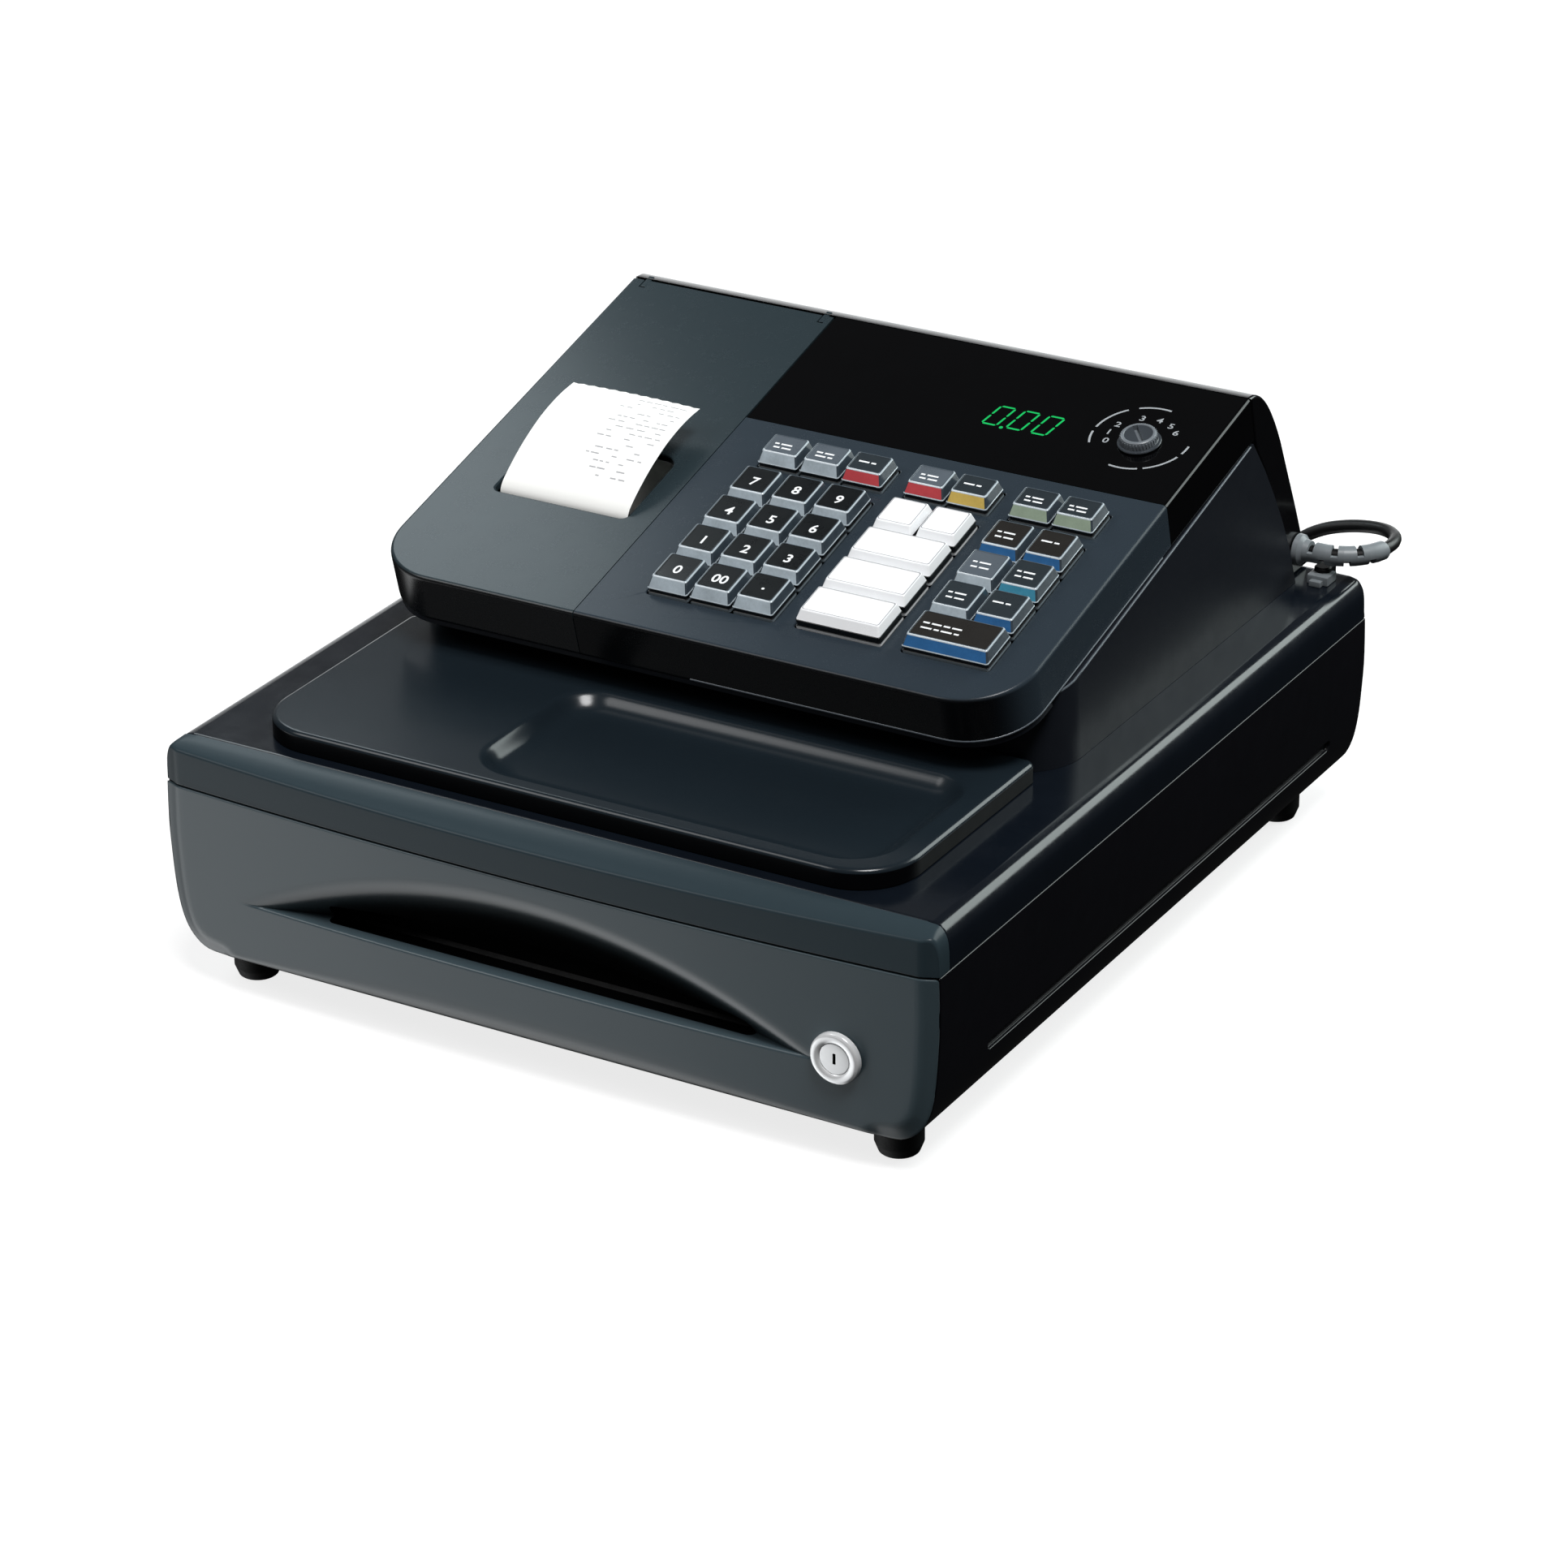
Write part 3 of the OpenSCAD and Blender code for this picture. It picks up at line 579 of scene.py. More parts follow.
# the tray's steep faces take a painted shade
M["tray"] = plastic("tray_satin", srgb(24, 32, 38), rough=0.21, rvar=0.01, spec=0.35, var=0.03, bump=0.006, wall=srgb(6, 7, 9), wall_dir=(0, 0, 1), wall_lo=0.02, wall_hi=0.25)
# dark, dull copy of the tray plastic: painted shade on its walls
M["tray_wall"] = plastic("tray_wall_satin", srgb(6, 7, 9), rough=0.34, spec=0.05, var=0.05, bump=0.01)
M["lower"] = plastic("lower_case_satin", srgb(25, 28, 34), rough=0.38, spec=0.18, var=0.06, bump=0.02)
M["faint"] = plastic("receipt_print_grey", srgb(170, 170, 174), rough=0.6, spec=0.2, var=0.1)
# lighter tone for the edge beads: painted highlight
M["trim"] = plastic("seam_bead_highlight", srgb(84, 91, 98), rough=0.3, spec=0.5, var=0.03, bump=0.01)
M["window"] = plastic("window_gloss", srgb(3, 3, 4), rough=0.05, spec=0.3, var=0.2, rvar=0.015, bump=0.004)
M["rear"] = plastic("rear_cover_gloss", srgb(7, 7, 9), rough=0.16, spec=0.35, var=0.15, bump=0.01)
M["mech"] = plastic("mechanism_plastic", srgb(95, 98, 102), rough=0.5, var=0.1)
M["roller"] = rubber("roller_rubber_mat", srgb(28, 28, 28))
M["paper"] = paper("paper_thermal", srgb(250, 250, 247))
M["ink"] = plastic("paper_print", srgb(158, 160, 166), rough=0.6, var=0.12)
M["board"] = plastic("board_laminate", srgb(26, 96, 60), rough=0.4, var=0.15, cloud=60)
M["drawer"] = plastic("drawer_box_plastic", srgb(34, 37, 41), rough=0.42, var=0.08)
M["till"] = plastic("till_plastic", srgb(40, 43, 48), rough=0.36, var=0.08)
M["clip"] = plastic("clip_plastic", srgb(70, 75, 82), rough=0.35, var=0.08)
M["chrome"] = metal("lock_chrome_metal", (0.96, 0.97, 0.98), 0.18, 0.04, metallic=0.35)
M["chrome2"] = metal("lock_plug_metal", (0.94, 0.95, 0.96), 0.22, 0.05, metallic=0.3)
M["steel"] = metal("latch_steel_metal", (0.6, 0.6, 0.58), 0.3, 0.08, (1, 14, 1))
# dark material: real dark plastic on some parts, painted shade in recesses on others
M["dark"] = plastic("dark_plastic_and_shade", srgb(6, 6, 8), rough=0.5, spec=0.2)
M["foot"] = rubber("foot_rubber_mat", srgb(16, 16, 17))
M["cord"] = rubber("cord_sheath", srgb(14, 14, 15), 0.42, 0.5)
M["plug"] = plastic("plug_moulding", srgb(16, 16, 18), rough=0.4)
M["pin"] = metal("plug_pin_metal", (0.78, 0.76, 0.7), 0.2, 0.05)
M["relief"] = plastic("relief_plastic", srgb(122, 128, 132), rough=0.4, var=0.08)
M["dial"] = plastic("dial_side", srgb(112, 118, 124), rough=0.35, var=0.08)
M["dial_top"] = plastic("dial_top_dark", srgb(52, 57, 63), rough=0.35, var=0.1)
M["mark"] = plastic("window_marks", srgb(160, 164, 168), rough=0.5, var=0.06)
M["digits"] = glow("digit_glow", (0.01, 0.62, 0.14), 1.0)

# ---------------------------------------------------------------- cord, built first
CORD_D = 5.2


def cord_path():
    pts = [(135.8, 165.5, 109), (138.5, 165.5, 109), (141.2, 165.5, 109), (143.6, 165.5, 109)]
    for a in (-90, -75, -60, -45, -30, -15):
        pts.append((146 + 20.5 * math.cos(rad(a)), 186 + 20.5 * math.sin(rad(a)), 109))
    pts += [(166.5, 187, 108.9), (164, 195.6, 108.2), (157.5, 202.8, 107), (148.5, 206.6, 105.4), (138, 207.6, 103.2), (128, 207.6, 99.8),
            (119.4, 207.6, 94.6), (112.6, 207.6, 87.4), (108, 207.6, 78), (105.4, 207.6, 67), (104, 207.6, 55), (102.6, 207.6, 43),
            (100, 207.6, 31), (95, 207.6, 20), (87.4, 207.8, 10.8), (77.6, 208, 5.2), (66, 208.4, 3)]
    start = catmull(pts, 3.0)

    # the coil: three and a half turns inwards on the table, then three and a half outwards on top of them
    def radius(f):
        r = 41.5 - 3.7 * min(max(f / 40.0, 0), 1)
        for a, b in ((310, 350), (670, 710), (1030, 1070)):
            r -= 5.2 * min(max((f - a) / (b - a), 0), 1)
        for a, b in ((1750, 1790), (2110, 2150), (2470, 2510)):
            r += 5.2 * min(max((f - a) / (b - a), 0), 1)
        return r

    def ease(t):
        return t * t * (3 - 2 * t)

    coil = []
    f = 0.0
    end = 2545.7
    while f <= end:
        a = rad(-64.3 - f)
        r = radius(f)
        h = 2.7 + 5.2 * ease(min(max((f - 1330) / 55.0, 0), 1))
        coil.append(Vector((36 + r * math.cos(a), 246 + r * math.sin(a), h)))
        f += 7.5
    # soften the steps between turns
    for _ in range(3):
        coil = [coil[0]] + [(coil[i - 1] + coil[i] * 2 + coil[i + 1]) / 4 for i in range(1, len(coil) - 1)] + [coil[-1]]
    lead = catmull([coil[-1], (22, 208.6, 7.6), (10, 208, 7.2), (-2, 207.4, 6.8), (-14, 207.2, 7)], 4.0)
    path = start + coil + lead[1:]
    return path


cord_pts = cord_path()
cord_len = sum((b - a).length for a, b in zip(cord_pts, cord_pts[1:]))
cu = bpy.data.curves.new("mains_cord", "CURVE")
cu.dimensions = "3D"
sp = cu.splines.new("POLY")
sp.points.add(len(cord_pts) - 1)
for p, q in zip(sp.points, cord_pts):
    p.co = (*(q * MM), 1)
cu.bevel_depth = CORD_D / 2 * MM
cu.bevel_resolution = 4
cu.use_fill_caps = True
cu.materials.append(M["cord"])
cord_ob = bpy.data.objects.new("mains_cord", cu)
KEEP_OUT.objects.link(cord_ob)
for s in cu.splines:
    s.use_smooth = True
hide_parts("cord", "cord_coil")
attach(cord_ob, "register")

# tie round the coil
b = Build()
ta = rad(100)
er = Vector((math.cos(ta), math.sin(ta), 0))
et = Vector((-math.sin(ta), math.cos(ta), 0))
rings = []
for w in (-3.2, -2.9, 2.9, 3.2):
    ins = 0.35 if abs(w) > 3 else 0.0
    sec_o = rrect(18.9 + ins, 41.0 - ins, 0.02, 11.4 - ins, 2.4, 2.4, 5)
    rings.append(b.ring([Vector((36, 246, 0)) + er * x + et * w + Vector((0, 0, z)) for x, z in sec_o]))
inner = []
for w in (3.2, -3.2):
    sec_i = rrect(19.5, 40.4, 0.25, 10.7, 2.0, 2.0, 5)
    inner.append(b.ring([Vector((36, 246, 0)) + er * x + et * w + Vector((0, 0, z)) for x, z in sec_i]))
b.skin(rings + inner + [rings[0]])
b.box(40.6, 42.4, -1.6, 1.6, 3, 7, 0.4, lambda x, y, z: Vector((36, 246, 0)) + er * x + et * y + Vector((0, 0, z)))
tie = b.done("cord_tie", M["plug"], "register")


# strain relief: wide base, then ribs with windows cut on alternate sides
def relief_path(s):
    """Point and tangent at length s from x 136 along the relief."""
    if s < 10:
        return Vector((136 + s, 165.5, 109)), Vector((1, 0, 0))
    a = rad(-90 + (s - 10) / 20.5 * 180 / math.pi)
    return Vector((146 + 20.5 * math.cos(a), 186 + 20.5 * math.sin(a), 109)), Vector((-math.sin(a), math.cos(a), 0))


b = Build()
n = 32
stations = [(0.0, 5.8, None), (0.35, 6.2, None), (2.4, 6.1, None), (3.0, 5.4, None), (3.8, 4.6, None), (5.4, 4.3, None)]
s0 = 6.0
k = 0
while s0 + 3.4 < 35.5:
    side_up = (k % 2 == 0)
    for ds, r, w in ((0.0, 4.25, None), (0.05, 4.25, side_up), (2.3, 4.2, side_up), (2.35, 4.2, None)):
        stations.append((s0 + ds, r - 0.012 * s0, w))
    s0 += 4.45
    k += 1
stations += [(s0, 3.9, None), (36.2, 3.8, None), (36.8, 3.5, None)]
rings = []
for s, r, w in stations:
    p, t = relief_path(s)
    sd = Vector((-t.y, t.x, 0))
    pts = []
    for i in range(n):
        a = 2 * math.pi * i / n
        ca, sa = math.cos(a), math.sin(a)
        rr = r
        if w is not None and ((sa > 0.28) if w else (sa < -0.28)):
            rr = 2.75
        pts.append(p + sd * ca * rr + Vector((0, 0, sa * rr)))
    rings.append(b.ring(pts))
b.skin(rings)
core0 = b.ring([relief_path(36.8)[0] + Vector((-relief_path(36.8)[1].y, relief_path(36.8)[1].x, 0)) * math.cos(2 * math.pi * i / n) * 2.65 + Vector((0, 0, math.sin(2 * math.pi * i / n) * 2.65)) for i in range(n)])
b.skin([rings[-1], core0])
back = b.ring([Vector((129.5, 165.5 + math.cos(2 * math.pi * i / n) * 4.3, 109 + math.sin(2 * math.pi * i / n) * 4.3)) for i in range(n)])
mid = b.ring([Vector((136.0, 165.5 + math.cos(2 * math.pi * i / n) * 4.3, 109 + math.sin(2 * math.pi * i / n) * 4.3)) for i in range(n)])
b.skin([mid, rings[0]])
b.skin([back, mid])
b.cap(back, flip=True)
b.cap(core0)
relief = b.done("cord_relief", [M["relief"], M["dark"]], "register", ("strain_relief",), sharp=28)
for pl in relief.data.polygons:
    c = pl.center / MM
    best = None
    for s, r, w in stations:
        if w is None:
            continue
        p, t = relief_path(s)
        d = c - p
        along = abs(d.dot(t))
        if along < 1.4:
            rad_c = (d - t * d.dot(t)).length
            if rad_c < 2.9:
                best = True
    if best:
        pl.material_index = 1

plug_ob = NODES["plug"]


# ---------------------------------------------------------------- drawer unit
BODY = 162.0
side_z = Pchip([14, 15, 18, 23, 30, 40, 52, 64, 76, 81], [22, 15, 9.5, 5.5, 3, 1.4, 0.5, 0, 0.2, 0.4])
cap_x = Pchip([81, 88, 92, 95, 97.2, 98], [0.4, 0.6, 1.1, 2.4, 4.5, 7.5])   # inset at a height
cap_z = Pchip([0.4, 0.6, 1.1, 2.4, 4.5, 7.5], [81, 88, 92, 95, 97.2, 98])   # height at an inset


def bow_y(x):
    return -177.5 + 5.5 * (x / 161.0) ** 2


end_in = Pchip([0, 0.3, 0.8, 1.6, 3.2, 4.8, 5.6, 6.4, 7.2], [2.3, 2.1, 1.9, 1.65, 1.1, 0.5, 0.22, 0.05, 0])

# outline of the side as a dense line, for distances to it
OUT = [(BODY - side_z(14 + i * 0.5), 14 + i * 0.5) for i in range(134)]


def edge_dist(x, z):
    ax = abs(x)
    if ax < 120:
        return 40.0
    best = 1e9
    for (x0, z0), (x1, z1) in zip(OUT, OUT[1:]):
        if min(abs(z0 - z), abs(z1 - z)) > best:
            continue
        dx, dz = x1 - x0, z1 - z0
        t = min(max(((ax - x0) * dx + (z - z0) * dz) / (dx * dx + dz * dz), 0), 1)
        d = math.hypot(ax - x0 - t * dx, z - z0 - t * dz)
        best = min(best, d)
    return best


def base_in(z):
    """How far the panel's lower edge curls back."""
    if z >= 27:
        return 0.0
    t = (27 - z) / 13.0
    return 9.4 * (1 - max(1 - t ** 2.2, 0) ** (1 / 2.2))


def scoop_y(x, z):
    q = 434.0 ** 2 - (x + 6) ** 2
    return -177.5 + (math.sqrt(max(q, 0)) - (z + 676.4) * 0.5807) / 0.8141


LIP = 40.4


def front_y(x, z, scoop):
    f = smax(bow_y(x) + end_in(edge_dist(x, z)), -177.5 + base_in(z), 1.2)
    if z > 79.9:
        f += 0.6 - math.sqrt(max(0.36 - (z - 79.98) ** 2, 0)) if z < 80.58 else 0.6
    if scoop:
        s = scoop_y(x, z)
        # the hollow runs out to points at its ends
        f2 = smax(f, s, 3.4)
        f = f2
    return f


def drawer_front():
    b = Build()
    zs = [14, 14.06, 14.2, 14.5, 15, 15.7, 16.6, 17.7, 19, 20.4, 22, 23.8, 25.6, 27.5, 30, 33, 36, 38.4, 39.4, 39.62, 39.86, 40.1, 40.27, 40.37, LIP]
    lip_rows = {len(zs) - 6: 0.025, len(zs) - 5: 0.11, len(zs) - 4: 0.3, len(zs) - 3: 0.5, len(zs) - 2: 0.74, len(zs) - 1: 1.0}
    nlow = len(zs)
    up = [LIP, 40.75, 41.2, 41.8, 42.5] + [43.4 + 0.9 * i for i in range(35)]
    up = [z for z in up if z < 75.9] + [76, 77.2, 78.4, 79.4, 79.9, 80.15, 80.35, 80.5, 80.6]
    rows = [(z, False) for z in zs] + [(z, True) for z in up]
    inner = [-138 + 276 * i / 138 for i in range(139)]
    outer = [0.12, 0.25, 0.4, 0.52, 0.62, 0.7, 0.76, 0.81, 0.85, 0.885, 0.915, 0.94, 0.958, 0.972, 0.984, 0.993, 1.0]
    grid, backs = [], []
    for k, (z, sc) in enumerate(rows):
        hw = BODY - side_z(z)
        xs = [-138 - (hw - 138) * s for s in reversed(outer)] + inner + [138 + (hw - 138) * s for s in outer]
        line = []
        for x in xs:
            y = front_y(x, z, sc)
            if k in lip_rows:
                depth = front_y(x, LIP, True) - y
                y += min(lip_rows[k], max(depth * 0.6, 0)) * 1.0
            line.append((x, min(y, -169.9) if abs(x) > 137.99 or not (22 <= z <= 76) else min(y, -150.2), z))
        grid.append(b.ring(line))
        backs.append((z, xs))
    for a, c in zip(grid, grid[1:]):
        for i in range(len(a) - 1):
            b.face([a[i], a[i + 1], c[i + 1], c[i]])
    # outline at the back, then the block that the drawer box is fixed to
    rim = grid[0] + [r[-1] for r in grid[1:]] + list(reversed(grid[-1][:-1])) + [r[0] for r in reversed(grid[1:-1])]
    seen, loop = set(), []
    for v in rim:
        if v not in seen:
            seen.add(v)
            loop.append(v)
    back = b.ring([(v.co.x / MM, -169.9, v.co.z / MM) for v in loop])
    b.skin([loop, back])
    blk = [(-138, 22), (138, 22), (138, 76), (-138, 76)]
    h0 = b.ring([(x, -169.9, z) for x, z in blk])
    h1 = b.ring([(x, -150.0, z) for x, z in blk])
    b.fill([back, h0])
    b.skin([h0, h1])
    b.face(h1)
    ob = raw(b, "drawer_panel", [M["case"], M["dark"]])
    # finger pocket, its faces in the dark material as painted shade
    pk0 = rrect(-92, 88, -171.5, -153, 3, 3, 5)
    t = Build()
    r1 = t.ring([(x, y, 33.2) for x, y in rrect(-90.8, 86.8, -170.3, -154.2, 2, 2, 5)])
    r2 = t.ring([(x, y, 34.6) for x, y in pk0])
    r3 = t.ring([(x, y, 45.6) for x, y in pk0])
    r4 = t.ring([(x, y, 46.4) for x, y in rrect(-91.2, 87.2, -170.7, -153.8, 2.2, 2.2, 5)])
    t.skin([r1, r2, r3, r4])
    t.cap(r1, flip=True)
    t.cap(r4)
    cut(ob, raw(t, mats=[M["dark"], M["dark"]]))
    # lock hole
    t = Build()
    t.lathe([(0, 0), (8.6, 0), (8.6, 45), (0, 45)], (0, 1, 0), (124, -185, 43.4), 40)
    cut(ob, raw(t, mats=[M["case"]]))
    # the pocket and the ledge under the lip are painted dark as shade
    for p in ob.data.polygons:
        c = p.center / MM
        if -92.5 < c.x < 88.5 and -171.9 < c.y < -152.6 and 33 < c.z < 46.8 and (c.z < 40.3 or c.y > scoop_y(c.x, c.z) + 0.4):
            p.material_index = 1
    return finish_mesh(ob, "drawer", ("drawer_front",), sharp=30)


drawer_front()


def front_band():
    b = Build()
    ztop = Pchip([-178, -177.4, -174.5, -170, -166, -162], [93.2, 93.5, 94.6, 96.3, 97.4, 98.0])
    xs = [-161.55, -161.4, -161.1, -160.7, -160.2, -159.6, -158.9, -158, -157, -156, -155, -154, -152.5, -151] + [-150 + 5 * i for i in range(61)] + \
         [151, 152.5, 154, 155, 156, 157, 158, 158.9, 159.6, 160.2, 160.7, 161.1, 161.4, 161.55]
    rings = []
    for x in xs:
        ins = BODY - abs(x)
        zc = cap_z(ins) if ins < 7.5 else 98.0
        yf = bow_y(x) + end_in(ins - 0.4)

        def top(y):
            return max(smin(ztop(y), zc + 0.35, 1.4), 81.45) if ins < 9 else ztop(y)
        R = 1.5
        z1 = top(yf + R)
        R = min(R, max((z1 - 81.5) * 0.6, 0.02))
        z1 = top(yf + R)
        pts = [(x, -162.4, 81.4), (x, yf + 0.35, 81.4), (x, yf + 0.1, 81.5), (x, yf, 81.75 if z1 > 82.2 else 81.45)]
        base = z1 - R
        for i in range(1, 4):
            pts.append((x, yf, pts[3][2] + (base - pts[3][2]) * i / 4))
        for i in range(7):
            a = rad(90 * i / 6)
            # the fillet ends on the sloping top, not on a level one
            y = yf + R * (1 - math.cos(a))
            z = base + (z1 - base) * math.sin(a) + (top(y) - z1) * (i / 6.0) ** 2
            pts.append((x, y, z))
        y0 = yf + R
        for i in range(1, 11):
            y = y0 + (-162.4 - y0) * i / 10
            pts.append((x, y, top(y)))
        rings.append(b.ring(pts))
    b.skin(rings)
    b.cap(rings[0], flip=True)
    b.cap(rings[-1])
    return b.done("front_band_shell", M["band"], "register", ("front_band",), sharp=40)


front_band()


def smooth01(t):
    t = min(max(t, 0), 1)
    return t * t * (3 - 2 * t)


def drawer_housing():
    b = Build()
    zs = [81, 80.96, 80.85, 80.65, 80.4, 78, 74, 70, 66, 62, 58, 54, 50, 46, 43, 41, 39.6, 38.8, 38.5, 38.42, 38.3, 37.6, 36.8, 36.0, 35.3, 35.18, 35.1, 34.6, 33.6, 32, 30, 28, 26, 24.5, 23, 21.5, 20, 18.8, 17.6,
          16.6, 15.8, 15.2, 14.7, 14.35, 14.12, 14.0]
    prof = [(BODY - side_z(z) - (0.5 * (1 - math.sqrt(max(1 - ((z - 80.4) / 0.6) ** 2, 0))) if z > 80.4 else 0), z) for z in zs]
    bottom = [(139, 14.0), (132, 14.0), (110, 14.0), (60, 14.0), (0, 14.0)]
    right = prof + bottom
    line = right + [(-x, z) for x, z in reversed(right[:-1])]
    ys = [-169.5, -169.42, -169.2, -168.9, -168.4, -160, -150, -140, -134, -132, -131, -130, -129, -127, -124, -120] + [-110 + 10 * i for i in range(26)] + \
         [143, 145, 147, 148, 149, 150, 151, 153, 160, 168, 173, 175, 176.2, 177.0, 177.4, 177.5]
    rings = []
    for y in ys:
        ins = 0.0
        if y < -168.4:
            t = (-168.4 - y) / 1.1
            ins = 0.55 * (1 - math.sqrt(max(1 - t * t, 0)))
        if y > 175.0:
            t = (y - 175.0) / 2.5
            ins = 2.5 * (1 - math.sqrt(max(1 - t * t, 0)))
        pts = []
        for i, (x, z) in enumerate(line):
            g = 0.0
            j = max(i - 1, 0)
            k = min(i + 1, len(line) - 1)
            tx, tz = line[k][0] - line[j][0], line[k][1] - line[j][1]
            ln = math.hypot(tx, tz) or 1
            nx, nz = tz / ln, -tx / ln      # inward, as the line runs down the right side
            pts.append((x + nx * (ins + g), y, z + nz * (ins + g)))
        rings.append(b.ring(pts))
    outer = rings
    inner_line = []
    for i, (x, z) in enumerate(line):
        j, k = max(i - 1, 0), min(i + 1, len(line) - 1)
        tx, tz = line[k][0] - line[j][0], line[k][1] - line[j][1]
        ln = math.hypot(tx, tz) or 1
        inner_line.append((x + tz / ln * 3.4, z - tx / ln * 3.4))
    inner_line = [(x, max(z, 17.4)) for x, z in inner_line]
    inner_line[0] = (inner_line[0][0], 81)
    inner_line[-1] = (inner_line[-1][0], 81)
    iys = [174.1, 100, 0, -100, -169.5]
    inner = [b.ring([(x, y, z) for x, z in inner_line]) for y in iys]
    b.skin(outer, closed=False)
    b.skin(inner, closed=False)
    # front rim, top rims, rear wall
    b.skin([inner[-1], outer[0]], closed=False)
    for s in (0, -1):
        chain_o = [r[s] for r in outer]
        chain_i = [r[s] for r in inner][::-1]
        b.fill([chain_o + chain_i[::-1]])
    ro, ri = outer[-1], inner[0]
    b.face(list(ro))
    b.face(list(reversed(ri)))
    b.face([ro[0], ro[-1], ri[-1], ri[0]])
    ob = raw(b, "housing_shell", [M["housing"]])
    # slot along each side, with round ends and a chamfered lip
    for sgn in (-1, 1):
        t = Build()
        x0 = BODY - side_z(36.8)
        secs = []
        for dx, r in ((-1.4, 1.75), (-1.1, 1.95), (-0.45, 2.05), (0.8, 3.3)):
            pts = [(sgn * (x0 + dx), 147.2 + r * math.sin(rad(180 * k / 12)), 36.8 + r * math.cos(rad(180 * k / 12))) for k in range(13)]
            pts += [(sgn * (x0 + dx), -129.2 - r * math.sin(rad(180 * k / 12)), 36.8 - r * math.cos(rad(180 * k / 12))) for k in range(13)]
            secs.append(t.ring(pts))
        t.skin(secs)
        t.cap(secs[0], flip=True)
        t.cap(secs[-1])
        cut(ob, raw(t, mats=[M["housing"]]))
    return finish_mesh(ob, sharp=35)


def boxes(name, mats, body, items, f=None, replaces=()):
    b = Build()
    for it in items:
        x0, x1, y0, y1, z0, z1 = it[:6]
        b.box(x0, x1, y0, y1, z0, z1, it[6] if len(it) > 6 else 0.3, f, it[7] if len(it) > 7 else 0)
    return b.done(name, mats, body, replaces, sharp=40)


hs = drawer_housing()
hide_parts("drawer_housing")
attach(hs, "register")
b = Build()
for s in (-1, 1):
    b.box(s * 120 - 5, s * 120 + 5, -140, 170, 17.2, 21.6, 0.5)
b.box(112, 136, -155, -151.5, 17.2, 21, 0.4)
for x0 in (112, 134):
    b.box(x0, x0 + 2, -156, -151.5, 17.2, 21, 0.3)
for x0 in (-8.5, 5.5):
    b.box(x0, x0 + 3, 162, 174.6, 43, 53, 0.4)
b.lathe([(0, -7), (1.7, -7), (2, -6.7), (2, 6.7), (1.7, 7), (0, 7)], (1, 0, 0), (0, 167, 48), 24)
b.done("housing_runners", M["drawer"], "register", (), sharp=40)


def housing_top():
    cz = [81, 81.04, 81.15, 81.35, 81.6, 83, 85, 87, 88.6, 90, 91.2, 92.3, 93.3, 94.2, 95, 95.7, 96.3, 96.85, 97.3, 97.62, 97.85, 97.96, 98.0]
    right = [(BODY - cap_x(z) - (0.5 * (1 - math.sqrt(max(1 - ((81.6 - z) / 0.6) ** 2, 0))) if z < 81.6 else 0), z) for z in cz]
    right[-1] = (154.2, 98.0)
    right += [(150, 98.0), (120, 98.0), (60, 98.0), (0, 98.0)]
    line = right + [(-x, z) for x, z in reversed(right[:-1])]

    def inset(d, y, low):
        pts = []
        for i, (x, z) in enumerate(line):
            j, k = max(i - 1, 0), min(i + 1, len(line) - 1)
            tx, tz = line[k][0] - line[j][0], line[k][1] - line[j][1]
            ln = math.hypot(tx, tz) or 1
            xx, zz = x - tz / ln * d, z + tx / ln * d
            pts.append((xx, y, low if z <= 81.01 else zz))
        return pts
    b = Build()
    outer, inner = [], []
    for y in [-162, -161.9, -161.6, -161, -150, -100, -50, 0, 50, 100, 150, 168, 173, 174.6, 176, 176.9, 177.35, 177.5]:
        ins = 0.0
        if y < -161:
            t = (-161 - y) / 1.0
            ins = 0.3 * (1 - math.sqrt(max(1 - t * t, 0)))
        if y > 174.0:
            t = (y - 174.0) / 3.5
            ins = 3.5 * (1 - math.sqrt(max(1 - t * t, 0)))
        outer.append(b.ring(inset(ins, y, 81.0)))
        inner.append(b.ring(inset(3.6, -162 + (y + 162) * 335.9 / 339.5, 81.0)))
    b.skin(outer, closed=False)
    b.skin(inner, closed=False)
    b.skin([outer[0], inner[0]], closed=False)
    for s in (0, -1):
        b.skin([[r[s] for r in outer], [r[s] for r in inner]], closed=False)
    ro, ri = outer[-1], inner[-1]
    b.face(ro)
    b.face(ri)
    b.face([ro[0], ro[-1], ri[-1], ri[0]])
    return b.done("deck_shell", M["deck"], "register", ("housing_top",), sharp=32)


housing_top()
boxes("deck_ribs", M["drawer"], "register", [(x - 1.5, x + 1.5, -150, 172, 88, 95.2, 0.3) for x in (-45, 45)])


def feet():
    b = Build()
    for x in (-137, 137):
        for y in (-153.5, 152.5):
            prof = [(0, 0.3), (5.4, 0.3), (5.8, 0.0), (7.1, 0.0), (7.5, 0.35), (8.0, 1.6), (8.6, 3.2), (9, 4.2), (9, 13.9), (0, 13.9)]
            b.lathe(prof, (0, 0, 1), (x, y, 0), 40)
    return b.done("foot_pads", M["foot"], "register", ("rubber_feet",), sharp=35)


feet()


